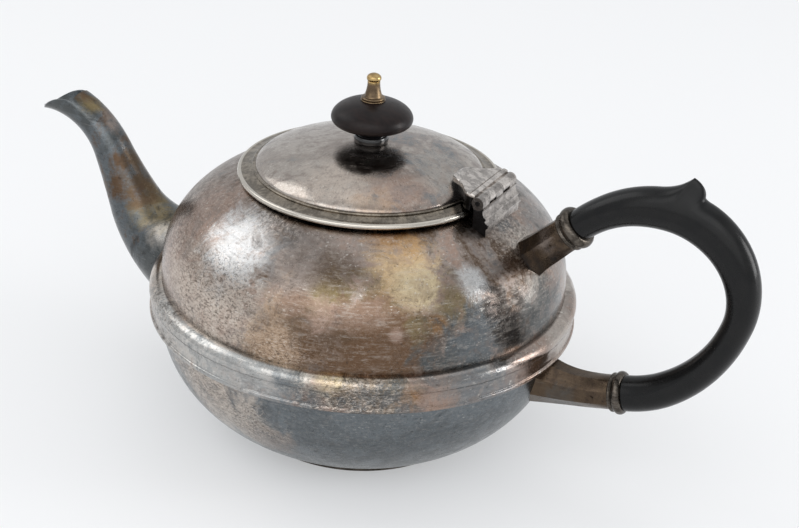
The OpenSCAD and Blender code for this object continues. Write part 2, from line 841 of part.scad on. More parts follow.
module knob_spool() {
    top_z = spool_z + spool_h;
    ring_w = 0.6;
    ring_h = 2;
    neck_h = 1.6;
    neck_z = spool_z + 5.3;
    color(ebony) difference() {
        rotate_extrude() polygon(concat(
            [[screw_r + screw_gap, spool_z], [spool_r - ring_w, spool_z]],
            ellipse_arc([spool_r - ring_w, spool_z + ring_h], ring_w, ring_h, -60, 60, 6),
            ellipse_arc([spool_r, neck_z], spool_r - spool_neck_r, neck_h, 235, 180, 5),
            [
                [spool_neck_r + ring_w, top_z - weld_gap],
                [screw_r + screw_gap, top_z - weld_gap]
            ]));
        dome_core(weld_gap);
    }
}

module knob_button() {
    dip_r = 5.2;
    edge_w = 3;
    color(ebony) difference() {
        rotate_extrude() polygon(concat(
            [[0, button_z - button_drop], [dip_r, button_z - button_drop]],
            ellipse_arc([button_r - edge_w, button_z], edge_w, button_drop, -80, 0, 8),
            ellipse_arc([0, button_z], button_r, button_top, 4, 90, 16)));
        translate([0, 0, finial_z - weld_gap]) cylinder(h = button_top, r = finial_disc_r + weld_gap);
        translate([0, 0, button_z - button_top]) cylinder(h = 2 * button_top, r = screw_r + screw_gap);
    }
}

module knob_finial() {
    ball_h = 1.72;
    ball_z = finial_top_z - ball_h;
    neck_z = ball_z - 1.2;
    neck_r = 2.1;
    stem_r = 2.95;
    stem_h = 1.4;
    disc_z = finial_z + 1.1;
    disc_edge = 0.5;
    screw_end = 0.8;
    color(brass) {
        rotate_extrude() polygon(concat(
            [[0, finial_z]],
            [[finial_disc_r - disc_edge, finial_z], [finial_disc_r, finial_z + disc_edge]],
            [[finial_disc_r, disc_z], [finial_disc_r - disc_edge, disc_z + disc_edge]],
            [[stem_r + disc_edge, disc_z + disc_edge], [stem_r, disc_z + stem_h]],
            [[neck_r, neck_z]],
            ellipse_arc([0, ball_z], finial_ball_r, ball_h, -35, 90, 12)));
        translate([0, 0, nut_z - screw_end])
            cylinder(h = finial_z + disc_edge - nut_z + screw_end, r = screw_r);
    }
}

module knob_washer() {
    color(brass) translate([0, 0, washer_z]) difference() {
        cylinder(h = washer_t - weld_gap, r = washer_r);
        translate([0, 0, -through]) cylinder(h = washer_t + 2 * through, r = screw_r + screw_gap);
    }
}

module knob_nut() {
    color(brass) translate([0, 0, nut_z]) difference() {
        cylinder(h = nut_t - weld_gap, r = nut_flats / sqrt(3), $fn = 6);
        translate([0, 0, -through]) cylinder(h = nut_t + 2 * through, r = screw_r + screw_gap);
    }
}

lower_bowl();
foot_ring();
upper_body();
girdle_band();
mouth_collar();
spout();
upper_socket();
lower_socket();
upper_ferrule();
lower_ferrule();
handle();
upper_handle_pin();
lower_handle_pin();
hinge_bracket();
hinge_pin();
hinge_leaf();
lid_dome();
lid_rim();
lid_bezel();
knob_spool();
knob_button();
knob_finial();
knob_washer();
knob_nut();
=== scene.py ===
import math

import bmesh
import bpy
from mathutils import Matrix, Vector


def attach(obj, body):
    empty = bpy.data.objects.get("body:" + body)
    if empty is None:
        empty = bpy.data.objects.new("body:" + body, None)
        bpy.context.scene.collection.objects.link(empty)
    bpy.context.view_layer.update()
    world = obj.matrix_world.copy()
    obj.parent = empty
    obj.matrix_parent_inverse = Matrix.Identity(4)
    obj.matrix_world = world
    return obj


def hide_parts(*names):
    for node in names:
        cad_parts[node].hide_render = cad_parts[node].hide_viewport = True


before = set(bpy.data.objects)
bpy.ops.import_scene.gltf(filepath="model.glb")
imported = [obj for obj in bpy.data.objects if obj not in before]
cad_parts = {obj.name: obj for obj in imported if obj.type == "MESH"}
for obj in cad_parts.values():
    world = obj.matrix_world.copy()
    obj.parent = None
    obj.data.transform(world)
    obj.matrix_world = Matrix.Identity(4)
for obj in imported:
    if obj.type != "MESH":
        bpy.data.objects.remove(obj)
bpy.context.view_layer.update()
MM = 0.001

# ---- Sizes, in millimetres, the same as the construction's ----

# What the grip and the beak's tip are worn down by, so that they stay inside the construction's box
POLISH = 0.05

BODY_R, SEAM_Z, BOWL_DROP, BOWL_POWER = 74.7, 50.2, 55.8, 2.2
UPPER_R, BELLY_Z, CROWN_RISE, CROWN_POWER = 73.45, 60.9, 42.7, 2.3
WALL, LAP, WELD_GAP = 1.2, 6.2, 0.05
MOUTH_R, FOOT_H, FOOT_W = 40.35, 2.3, 2.1
GIRDLE_R, GIRDLE_IN_R, GIRDLE_LOW_Z, GIRDLE_EDGE_Z, GIRDLE_TOP_Z = 78.0, 73.5, 45.9, 54.0, 58.4
LID_R, DOME_R, DOME_H, DOME_POWER = 46.8, 40.4, 9.4, 0.65
MOUTH_Z = BELLY_Z + CROWN_RISE * (1 - (MOUTH_R / UPPER_R) ** CROWN_POWER) ** (1 / CROWN_POWER)
FLANGE_Z = MOUTH_Z + WELD_GAP
LID_Z = FLANGE_Z + 0.75
DOME_Z = LID_Z + 2.05
DOME_TOP = DOME_Z + DOME_H
BEZEL_IN_R, BEZEL_R, BEZEL_DEPTH = 37.7, 38.7, 4
SCREW_R, SCREW_GAP = 1.5, 0.05
BORE_R = SCREW_R + SCREW_GAP
PIN_X, PIN_Z = 48.6, DOME_Z + 2.6
HINGE_W, BARREL_R, KNUCKLE_GAP = 27.2, 2.2, 0.08
SPOUT_Z, SPOUT_ROOT_R, SPOUT_TIP_R, SPOUT_WALL = 44.0, 18.6, 6.5, 1.0
SPOUT_START = (BODY_R + 4.8, SPOUT_Z + 0.6, 11.5)
SPOUT_BEND_R, SPOUT_BEND_TURN, SPOUT_MIDDLE_L, SPOUT_ROOF_L = 34.8, 48.8, 21.5, 22.6
SPOUT_ARCS = ((SPOUT_BEND_R, SPOUT_BEND_TURN), (500.0, 2.4637), (31.6, -60.0))
SPOUT_CROWN_S = SPOUT_BEND_R * math.radians(SPOUT_BEND_TURN) + SPOUT_MIDDLE_L + SPOUT_ROOF_L
SPOUT_BEAK_L, BEAK_ANGLE = 18.0 - POLISH, 60.0
STRAINER_R, STRAINER_PITCH = 1.6, 5.4
HANDLE_START = (76.9, MOUTH_Z - 2.8, 45.0)
HANDLE_ARCS = ((48.5, -13.3), (41.2, -29.9), (28.1, -105.5), (52.6, -41.1), (38.2, -22.0))
UPPER_FERRULE_L, LOWER_FERRULE_L, FERRULE_R, SOCKET_R = 6.0, 5.0, 7.6, 6.15
TENON_R, TENON_L, TENON_ROOT, TENON_BEVEL = 4.4, 11, 2, 0.4
GRIP_START_R, GRIP_SWELL_R, GRIP_WAIST_R, GRIP_END_R, GRIP_SIDE_R = 5.6, 7.6, 5.2, 6.4, 6.0
TURN_STEPS, SHELL_STEPS, DOME_STEPS = 192, 48, 40


# ---- Curves ----

def arc_length(arc):
    return arc[0] * math.radians(abs(arc[1]))


def arc_step(state, radius, turn):
    """A state (x, z, heading in degrees) moved along an arc."""
    side = 1 if turn > 0 else -1
    h0, h1 = math.radians(state[2]), math.radians(state[2] + turn)
    x = state[0] + side * radius * (math.sin(h1) - math.sin(h0))
    z = state[1] - side * radius * (math.cos(h1) - math.cos(h0))
    return (x, z, state[2] + turn)


def chain_at(state, arcs, s):
    for arc in arcs[:-1]:
        length = arc_length(arc)
        if s <= length:
            return arc_step(state, arc[0], arc[1] * s / length)
        state, s = arc_step(state, *arc), s - length
    return arc_step(state, arcs[-1][0], arcs[-1][1] * s / arc_length(arcs[-1]))


def ahead(state, length):
    """A state moved straight along its heading."""
    h = math.radians(state[2])
    return (state[0] + length * math.cos(h), state[1] + length * math.sin(h), state[2])


def eased(a, b, share):
    return a + (b - a) * (1 - math.cos(math.pi * min(1, max(0, share)))) / 2


def bump(x, centre, width):
    """A smooth bell of height 1."""
    return math.exp(-((x - centre) / width) ** 2)


def arc_points(centre, rx, ry, start, end, steps):
    """Points on an ellipse, with angles in degrees."""
    angles = [math.radians(start + (end - start) * i / steps) for i in range(steps + 1)]
    return [(centre[0] + rx * math.cos(a), centre[1] + ry * math.sin(a)) for a in angles]


def bowl_curve(inset, end_z):
    radius, drop = BODY_R - inset, BOWL_DROP - inset
    last = math.asin(((SEAM_Z - end_z) / drop) ** (BOWL_POWER / 2))
    angles = [last * i / SHELL_STEPS for i in range(SHELL_STEPS + 1)]
    power = 2 / BOWL_POWER
    return [(radius * math.cos(a) ** power, SEAM_Z - drop * math.sin(a) ** power) for a in angles]


def crown_curve(inset, end_r):
    radius, rise = UPPER_R - inset, CROWN_RISE - inset
    last = math.acos((end_r / radius) ** (CROWN_POWER / 2))
    angles = [last * i / SHELL_STEPS for i in range(SHELL_STEPS + 1)]
    power = 2 / CROWN_POWER
    return [(radius * math.cos(a) ** power, BELLY_Z + rise * math.sin(a) ** power) for a in angles]


def bowl_r(z):
    return BODY_R * (1 - ((SEAM_Z - z) / BOWL_DROP) ** BOWL_POWER) ** (1 / BOWL_POWER)


def crown_r(z):
    if z <= BELLY_Z:
        return UPPER_R
    return UPPER_R * (1 - ((z - BELLY_Z) / CROWN_RISE) ** CROWN_POWER) ** (1 / CROWN_POWER)


def pot_r(z):
    return bowl_r(z) if z < SEAM_Z else crown_r(z)


def dome_curve(radius, foot_z):
    angles = [math.pi / 2 * i / DOME_STEPS for i in range(DOME_STEPS + 1)]
    return [(radius * math.sin(a), foot_z + DOME_H * math.cos(a) ** (2 * DOME_POWER)) for a in angles]


# ---- Meshes ----

def finish_mesh(name, mesh, body, nodes, material, sharp=38):
    """Smooths a mesh apart from its sharp edges, and makes it a piece that stands for CAD nodes."""
    bmesh.ops.remove_doubles(mesh, verts=mesh.verts, dist=2e-6)
    bmesh.ops.recalc_face_normals(mesh, faces=mesh.faces)
    limit = math.radians(sharp)
    for edge in mesh.edges:
        edge.smooth = len(edge.link_faces) == 2 and edge.calc_face_angle(0) < limit
    for face in mesh.faces:
        face.smooth = True
    data = bpy.data.meshes.new(name)
    mesh.to_mesh(data)
    mesh.free()
    piece = bpy.data.objects.new(name, data)
    bpy.context.scene.collection.objects.link(piece)
    piece.data.materials.append(material)
    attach(piece, body)
    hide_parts(*nodes)
    return piece


def skin(mesh, rings, closed_path=False):
    """Quads between closed rings of points, given in millimetres."""
    verts = [[mesh.verts.new(Vector(p) * MM) for p in ring] for ring in rings]
    count = len(rings[0])
    spans = len(rings) if closed_path else len(rings) - 1
    for i in range(spans):
        low, high = verts[i], verts[(i + 1) % len(rings)]
        for j in range(count):
            k = (j + 1) % count
            mesh.faces.new((low[j], low[k], high[k], high[j]))
    return verts


def fan(mesh, ring, centre):
    middle = mesh.verts.new(Vector(centre) * MM)
    for j in range(len(ring)):
        mesh.faces.new((ring[j], ring[(j + 1) % len(ring)], middle))


def capped(mesh, rings):
    """A skin closed by a face at each end."""
    verts = skin(mesh, rings)
    mesh.faces.new(verts[0])
    mesh.faces.new(verts[-1][::-1])


def scratch_object(name, mesh):
    """An object made from a mesh, which is freed."""
    data = bpy.data.meshes.new(name)
    mesh.to_mesh(data)
    mesh.free()
    result = bpy.data.objects.new(name, data)
    bpy.context.scene.collection.objects.link(result)
    return result


def turned(profile, to_world, steps=TURN_STEPS):
    """A mesh turned about an axis from an (r, z) outline, which is open if it starts and ends on the axis."""
    mesh = bmesh.new()
    open_outline = profile[0][0] == 0 and profile[-1][0] == 0
    inner = profile[1:-1] if open_outline else profile
    angles = [2 * math.pi * j / steps for j in range(steps)]
    rings = [[to_world(r * math.cos(a), r * math.sin(a), z) for a in angles] for r, z in inner]
    verts = skin(mesh, rings, closed_path=not open_outline)
    if open_outline:
        fan(mesh, verts[0], to_world(0, 0, profile[0][1]))
        fan(mesh, verts[-1], to_world(0, 0, profile[-1][1]))
    return mesh


def upright(x, y, z):
    return (x, y, z)


def along(state):
    """Maps a local point to one whose Z axis lies along a chain's heading."""
    x0, z0, heading = state
    c, s = math.cos(math.radians(heading)), math.sin(math.radians(heading))
    return lambda x, y, z: (x0 + z * c - x * s, y, z0 + z * s + x * c)


def rounded(points, radius):
    """Outline with each corner cut to a small arc. Points are (r, z)."""
    steps = 3
    out = []
    for i, point in enumerate(points):
        p, a, b = Vector(point), Vector(points[i - 1]), Vector(points[(i + 1) % len(points)])
        to_a, to_b = a - p, b - p
        cut = min(radius, to_a.length / 3, to_b.length / 3)
        first, last = p + to_a.normalized() * cut, p + to_b.normalized() * cut
        for k in range(steps + 1):
            t = k / steps
            q = first * (1 - t) ** 2 + p * 2 * t * (1 - t) + last * t ** 2
            out.append((q.x, q.y))
    return out


# ---- Materials ----

class Shader:
    """A material's node tree, with short calls for the nodes that it uses."""

    def __init__(self, material):
        self.material = material
        self.nodes = self.material.node_tree.nodes
        self.links = self.material.node_tree.links
        self.surface = self.nodes["Principled BSDF"]
        self.place = self.add("ShaderNodeTexCoord").outputs["Object"]

    @classmethod
    def named(cls, name):
        material = bpy.data.materials.new(name)
        material.use_nodes = True
        return cls(material)

    def add(self, kind, **settings):
        node = self.nodes.new(kind)
        for key, value in settings.items():
            setattr(node, key, value)
        return node

    def feed(self, socket, value):
        if isinstance(value, bpy.types.NodeSocket):
            self.links.new(value, socket)
        else:
            socket.default_value = value

    def math(self, operation, a, b=0.0, clamp=False):
        node = self.add("ShaderNodeMath", operation=operation, use_clamp=clamp)
        self.feed(node.inputs[0], a)
        self.feed(node.inputs[1], b)
        return node.outputs[0]

    def scaled(self, x, y, z, source=None):
        node = self.add("ShaderNodeMapping")
        self.feed(node.inputs["Vector"], source or self.place)
        node.inputs["Scale"].default_value = (x, y, z)
        return node.outputs[0]

    def noise(self, scale, detail, rough, source=None, warp=0.0):
        node = self.add("ShaderNodeTexNoise")
        self.feed(node.inputs["Vector"], source or self.place)
        node.inputs["Scale"].default_value = scale
        node.inputs["Detail"].default_value = detail
        node.inputs["Roughness"].default_value = rough
        node.inputs["Distortion"].default_value = warp
        return node.outputs["Fac"]

    def ramp(self, value, low, high, start=0.0, end=1.0):
        """Maps low..high to start..end smoothly."""
        node = self.add("ShaderNodeMapRange", interpolation_type="SMOOTHSTEP")
        self.feed(node.inputs["Value"], value)
        for key, number in (("From Min", low), ("From Max", high), ("To Min", start), ("To Max", end)):
            node.inputs[key].default_value = number
        return node.outputs["Result"]

    def mix(self, share, first, second):
        node = self.add("ShaderNodeMix", data_type="RGBA")
        self.feed(node.inputs["Factor"], share)
        for socket, colour in ((node.inputs[6], first), (node.inputs[7], second)):
            if isinstance(colour, bpy.types.NodeSocket):
                self.links.new(colour, socket)
            else:
                socket.default_value = (*colour, 1)
        return node.outputs[2]

    def near(self, centre, reach, wobble, soft=0.42):
        """Share that falls from 1 at a point, in millimetres, to 0 at about its reach.

        wobble is the noise that makes the edge ragged. soft is half the edge's width as a share of the reach.
        """
        ragged = 3.0
        node = self.add("ShaderNodeVectorMath", operation="DISTANCE")
        self.feed(node.inputs[0], self.place)
        node.inputs[1].default_value = [c * MM for c in centre]
        reach = reach * MM
        distance = self.math("ADD", node.outputs["Value"], self.math("MULTIPLY", wobble, reach * ragged))
        edge = reach * (0.85 + ragged / 2)
        return self.ramp(distance, edge - soft * reach, edge + soft * reach, 1.0, 0.0)

    def stops(self, value, colours):
        """A colour for each level of a value, blended between them."""
        node = self.add("ShaderNodeValToRGB")
        ramp = node.color_ramp
        while len(ramp.elements) < len(colours):
            ramp.elements.new(0.5)
        for element, (level, colour) in zip(ramp.elements, colours):
            element.position = level
            element.color = (*colour, 1)
        self.feed(node.inputs["Fac"], value)
        return node.outputs["Color"]

    def bumped(self, height, distance, strength):
        node = self.add("ShaderNodeBump")
        node.inputs["Strength"].default_value = strength
        node.inputs["Distance"].default_value = distance
        self.links.new(height, node.inputs["Height"])
        self.links.new(node.outputs[0], self.surface.inputs["Normal"])

    def turning(self, axis_scale, z_scale):
        """Coordinates that run round the pot: direction from the axis, stretched, with height."""
        split = self.add("ShaderNodeSeparateXYZ")
        self.links.new(self.place, split.inputs[0])
        angle = self.math("ARCTAN2", split.outputs[1], split.outputs[0])
        join = self.add("ShaderNodeCombineXYZ")
        self.feed(join.inputs[0], self.math("MULTIPLY", self.math("SINE", angle), axis_scale))
        self.feed(join.inputs[1], self.math("MULTIPLY", self.math("COSINE", angle), axis_scale))
        self.feed(join.inputs[2], self.math("MULTIPLY", split.outputs[2], z_scale))
        return join.outputs[0]


# Colours of silver plate in its states of tarnish, as reflectance
WHITE = (0.88, 0.85, 0.80)
SILVER = (0.56, 0.56, 0.56)
IVORY = (0.60, 0.52, 0.45)
PALE = (0.46, 0.42, 0.38)
TAUPE = (0.28, 0.235, 0.21)
PINK = (0.33, 0.235, 0.19)
ROSE = (0.20, 0.135, 0.100)
TAN = (0.46, 0.33, 0.23)
BROWN = (0.105, 0.068, 0.044)
RUST = (0.135, 0.080, 0.048)
UMBER = (0.070, 0.050, 0.036)
SOOT = (0.030, 0.026, 0.024)
DEEP = (0.095, 0.068, 0.046)
OLIVE = (0.20, 0.155, 0.080)
GOLD = (0.58, 0.42, 0.25)
CREAM = (0.66, 0.54, 0.35)
ORANGE = (0.38, 0.19, 0.06)
SLATE = (0.120, 0.134, 0.144)
STEEL = (0.085, 0.092, 0.094)
BLUE = (0.165, 0.185, 0.200)
BLACK = (0.018, 0.018, 0.019)


def plate(name, tints, patches, worn=(), blotch=16.0, dark_share=0.35, streaks=0.5, rough=0.24, bright=1.0):
    """Tarnished silver plate.

    tints are the colours from the least to the deepest tarnish. A patch is (centre, reach, tint, share). Most
    patches are tarnish, and some paint a highlight or a reflection that a caller places.
    worn holds the (centre, reach) of places with dense flecks. bright is the share of light marks.
    """
    s = Shader.named(name)
    wobble = s.noise(42.0, 9.0, 0.66, warp=0.3)
    ragged = s.noise(88.0, 9.0, 0.70, warp=0.8)
    fine = s.noise(210.0, 8.0, 0.74, warp=0.2)
    broad = s.noise(blotch, 9.0, 0.66, warp=0.7)
    low, high = 0.36, 0.66
    levels = [low + (high - low) * i / (len(tints) - 1) for i in range(len(tints))]
    depth = s.math("ADD", broad, s.math("MULTIPLY", s.math("SUBTRACT", fine, 0.5), 0.35))
    colour = s.stops(depth, tuple(zip(levels, tints)))
    grain = s.ramp(fine, 0.40, 0.52, 0.55, 1.0)
    for centre, reach, tint, share in patches:
        area = s.math("MULTIPLY", s.near(centre, reach, ragged), s.math("MULTIPLY", grain, share))
        colour = s.mix(area, colour, tint)
    stain = s.ramp(s.noise(75.0, 10.0, 0.76, warp=0.9), 0.55, 0.64, 0.0, dark_share)
    colour = s.mix(stain, colour, BLACK)
    streak = s.noise(1.0, 6.0, 0.75, source=s.turning(8.0, 1100.0), warp=0.3)
    scratch = s.noise(1.0, 4.0, 0.7, source=s.turning(40.0, 1500.0))
    lines = s.math("MULTIPLY", s.ramp(streak, 0.50, 0.60), s.ramp(fine, 0.40, 0.58))
    colour = s.mix(s.math("MULTIPLY", lines, streaks), colour, PALE)
    gaps = s.math("MULTIPLY", s.ramp(streak, 0.50, 0.40), s.ramp(wobble, 0.42, 0.60))
    colour = s.mix(s.math("MULTIPLY", gaps, streaks * 0.8), colour, UMBER)
    share = 0.16
    for centre, reach in worn:
        share = s.math("MAXIMUM", s.near(centre, reach, wobble, soft=0.7), share)
    fleck = s.noise(1.0, 5.0, 0.82, source=s.turning(48.0, 1500.0), warp=0.8)
    dark_flecks = s.math("MULTIPLY", s.ramp(fleck, 0.51, 0.57), share)
    colour = s.mix(s.math("MULTIPLY", dark_flecks, 0.75), colour, UMBER)
    light_flecks = s.math("MULTIPLY", s.ramp(fleck, 0.46, 0.40), share)
    colour = s.mix(s.math("MULTIPLY", light_flecks, 0.8 * bright), colour, IVORY)
    specks = s.noise(900.0, 3.0, 0.8)
    colour = s.mix(s.ramp(specks, 0.60, 0.70, 0.0, 0.6), colour, BLACK)
    glints = s.math("MULTIPLY", s.ramp(scratch, 0.60, 0.68), s.ramp(broad, 0.44, 0.56, 1.0, 0.25))
    colour = s.mix(s.math("MULTIPLY", glints, 0.4 * bright), colour, WHITE)
    dull = s.ramp(broad, 0.35, 0.70, rough - 0.04, rough + 0.10)
    dull = s.math("ADD", dull, s.math("MULTIPLY", stain, 0.35))
    dull = s.math("ADD", dull, s.ramp(fine, 0.40, 0.70, -0.03, 0.10), clamp=True)
    s.links.new(colour, s.surface.inputs["Base Color"])
    s.links.new(dull, s.surface.inputs["Roughness"])
    s.surface.inputs["Metallic"].default_value = 1.0
    height = s.math("ADD", s.math("MULTIPLY", streak, 0.5), s.math("MULTIPLY", fine, 0.5))
    height = s.math("ADD", height, s.math("MULTIPLY", scratch, 0.4))
    height = s.math("ADD", height, s.math("MULTIPLY", wobble, 2.0))
    s.bumped(height, 0.00012, 0.5)
    return s.material


def upper_plate():
    """Patches lie where the pot has been handled and where it has tarnished. One silver patch is a painted
    highlight where the key lamp's reflection falls, and three soot patches paint the handle's dark
    reflection.
    """
    return plate("tarnished_silver_upper_with_painted_light", (TAUPE, PINK, TAUPE, BROWN, TAUPE, SLATE), (
        ((-45, -50, 82), 26, PINK, 0.7),
        ((-30, -66, 70), 20, IVORY, 0.75),
        ((-12, -71, 72), 15, IVORY, 0.85),
        # Painted highlight: this silver patch sits where the key lamp's reflection falls and sets its
        # grey-white tone.
        ((-16, -57, 89), 18, SILVER, 1.0),
        ((0, -48, 96), 15, BROWN, 0.7),
        ((30, -30, 98), 10, BROWN, 0.8),
        ((47, -8, 97), 12, UMBER, 0.6),
        ((4, -58, 90), 12, BLUE, 0.6),
        ((18, -50, 93), 18, TAUPE, 0.9),
        ((12, -66, 79), 14, BROWN, 0.8),
        ((22, -64, 82), 11, OLIVE, 0.95),
        ((36, -53, 84), 12, OLIVE, 0.95),
        ((36, -59, 74), 14, RUST, 0.95),
        ((37, -45, 90), 12, GOLD, 1.0),
        ((56, -40, 79), 10, OLIVE, 0.9),
        ((45, -47, 85), 9, CREAM, 1.0),
        ((8, -62, 87), 10, TAUPE, 0.9),
        ((20, -56, 89), 9, BROWN, 0.7),
        ((30, -38, 97), 10, ORANGE, 0.5),
        ((9, -73, 64), 17, TAN, 0.9),
        ((14, -72, 70), 11, BROWN, 0.8),
        ((26, -70, 66), 16, RUST, 1.0),
        ((42, -61, 66), 20, RUST, 1.0),
        ((50, -52, 70), 10, RUST, 1.0),
        ((24, -66, 72), 8, BROWN, 0.9),
        ((7, -73, 65), 9, TAN, 0.9),
        ((21, -68, 77), 7, PINK, 0.8),
        ((30, -63, 79), 6, ROSE, 1.0),
        ((36, -59, 78), 6, ROSE, 0.9),
        ((11, -68, 79), 6, ROSE, 0.9),
        ((43, -57, 72), 3, PINK, 0.8),
        ((53, -47, 74), 4, ORANGE, 0.9),
        ((48, -52, 73), 5, OLIVE, 0.8),
        ((60, -42, 62), 17, STEEL, 1.0),
        ((64, -35, 70), 14, SLATE, 1.0),
        ((72, -12, 66), 14, STEEL, 0.9),
        ((57, -32, 84), 6, SILVER, 0.9),
        # Painted reflection: these three soot patches stand for the handle's dark reflection in the body.
        ((65, -28, 76), 7, SOOT, 1.0),
        ((67, -22, 76), 7, SOOT, 1.0),
        ((69, -24, 67), 7, SOOT, 1.0),
        ((71, -6, 76), 7, PALE, 0.8),
        ((73, 0, 66), 13, STEEL, 0.9),
        ((60, 0, 89), 9, PALE, 0.9),
        ((46, 0, 97), 14, TAUPE, 0.7),
        ((50, 2, 95), 8, SLATE, 0.8),
        ((-55, 40, 70), 34, OLIVE, 0.6),
        ((20, 70, 66), 36, BROWN, 0.7),
        ((-40, 60, 62), 26, SLATE, 0.7),
        ((60, 40, 80), 30, BLUE, 0.5),
    ), worn=(
        ((-58, -40, 76), 30),
        ((-26, -68, 68), 26),
        ((8, -73, 62), 16),
        ((60, -4, 88), 16),
        ((-10, -42, 98), 14),
        ((-40, 40, 80), 40),
    ), streaks=0.3)


def bowl_plate():
    return plate("tarnished_silver_bowl", (BLUE, SLATE, BLUE, SLATE, BLUE), (
        ((-20, -72, 36), 20, IVORY, 0.75),
        ((-4, -72, 30), 13, PALE, 0.7),
        ((4, -68, 24), 10, TAUPE, 0.6),
        ((40, -60, 34), 30, STEEL, 0.2),
        ((-50, 50, 36), 30, BROWN, 0.5),
        ((30, 66, 30), 26, TAUPE, 0.5),
    ), worn=(((-26, -68, 36), 24), ((-4, -70, 28), 16), ((-30, 62, 34), 30)),
        blotch=18.0, dark_share=0.25, streaks=0.1, rough=0.22)


def band_plate():
    return plate("tarnished_silver_band_with_painted_highlight", (PALE, TAUPE, PINK, BROWN), (
        # Painted highlight: the white and ivory patches along the front of the shoulder partly paint the
        # shoulder's highlight. The other patches are tarnish.
        ((-42, -64, 58), 28, WHITE, 1.0),
        ((-62, -46, 57), 18, IVORY, 0.9),
        ((-14, -76, 59), 20, WHITE, 1.0),
        ((8, -77, 59), 14, WHITE, 1.0),
        ((20, -75, 59), 8, WHITE, 0.9),
        ((27, -73, 59), 11, CREAM, 1.0),
        ((42, -66, 56), 12, GOLD, 0.8),
        ((46, -63, 56), 5, OLIVE, 0.8),
        ((50, -59, 52), 5, ORANGE, 0.9),
        ((62, -47, 57), 8, TAUPE, 0.8),
        ((20, -76, 50), 12, SLATE, 0.9),
        ((32, -71, 52), 5, BROWN, 0.8),
        ((42, -65, 50), 16, SLATE, 0.9),
        ((-4, -78, 50), 26, BLUE, 0.7),
        ((-45, -62, 49), 26, SLATE, 0.6),
        ((68, -34, 51), 18, BLUE, 0.8),
        ((72, -18, 57), 14, PINK, 0.7),
        ((76, 4, 56), 12, PALE, 0.7),
        ((0, 74, 54), 40, BROWN, 0.5),
    ), worn=(((-46, -61, 46), 20), ((34, -70, 50), 20), ((0, 76, 50), 50)),
        blotch=22.0, streaks=0.2, rough=0.20)


def lid_plate():
    return plate("tarnished_silver_lid", (TAUPE, PALE, TAUPE, BLUE, PINK), (
        ((6, -28, 106), 16, IVORY, 0.85),
        ((22, -22, 106), 12, PINK, 0.8),
        ((-4, -6, 110), 13, TAUPE, 0.6),
        ((-20, -22, 106), 16, PALE, 0.5),
        ((31, 1, 105), 14, PALE, 0.7),
        ((-10, 28, 106), 24, TAUPE, 0.4),
        ((20, -34, 103), 8, TAN, 0.5),
    ), blotch=26.0, dark_share=0.2, streaks=0.2, rough=0.19)


def spout_plate():
    return plate("tarnished_silver_spout", (STEEL, STEEL, SLATE, BROWN), (
        ((-96, 2, 74), 12, DEEP, 1.0),
        ((-103, 6, 84), 8, DEEP, 1.0),
        ((-106, 7, 87), 4, PALE, 0.8),
        ((-112, 2, 96), 7, TAUPE, 0.8),
        ((-121, -2, 100), 6, OLIVE, 0.9),
        ((-128, 0, 102), 6, BROWN, 0.9),
        ((-88, -6, 66), 10, OLIVE, 0.8),
        ((-96, -4, 66), 6, BROWN, 0.8),
        ((-82, -14, 58), 7, PALE, 0.5),
        ((-90, 18, 56), 14, OLIVE, 0.5),
    ), blotch=34.0, dark_share=0.5, streaks=0.0, rough=0.22, bright=0.3)


def socket_plate():
    return plate("tarnished_silver_socket", (UMBER, DEEP, UMBER, SOOT), (
        ((70, -6, 93), 5, TAUPE, 0.6),
        ((84, -7, 33), 8, STEEL, 0.5),
    ), blotch=70.0, dark_share=0.2, streaks=0.0, rough=0.22, bright=0.1)


def worn_plate(name, tint, rough):
    """Plate without patches, for small pieces."""
    deeper = tuple(0.45 * c for c in tint)
    return plate(name, (tint, deeper, tint, deeper), (), blotch=90.0, streaks=0.1, rough=rough, bright=0.4)


def paint_shade_past(material, axis, start, end, low_x=False):
    """Paints shade on a plate: darkens it on start's side of a level, in millimetres along an axis. low_x
    spares the knuckles.
    """
    knuckles_low, knuckles_high = 47.0 * MM, 47.4 * MM
    s = Shader(material)
    split = s.add("ShaderNodeSeparateXYZ")
    s.links.new(s.place, split.inputs[0])
    level = s.math("ABSOLUTE", split.outputs[axis])
    share = s.ramp(level, start * MM, end * MM, 1.0, 0.0)
    if low_x:
        share = s.math("MULTIPLY", share, s.ramp(split.outputs[0], knuckles_low, knuckles_high, 1.0, 0.0))
    base = s.surface.inputs["Base Color"]
    s.links.new(s.mix(share, base.links[0].from_socket, BLACK), base)
    return material


def paint_bead_highlight(material, radius, tint):
    """Paints a highlight on a turned piece outside a radius, in millimetres, by lightening its colour there.
    """
    s = Shader(material)
    size = s.add("ShaderNodeVectorMath", operation="LENGTH")
    s.links.new(s.scaled(1.0, 1.0, 0.0), size.inputs[0])
    soft = 0.15
    share = s.ramp(size.outputs["Value"], (radius - soft) * MM, (radius + soft) * MM, 0.0, 0.8)
    base = s.surface.inputs["Base Color"]
    s.links.new(s.mix(share, base.links[0].from_socket, tint), base)
    return material


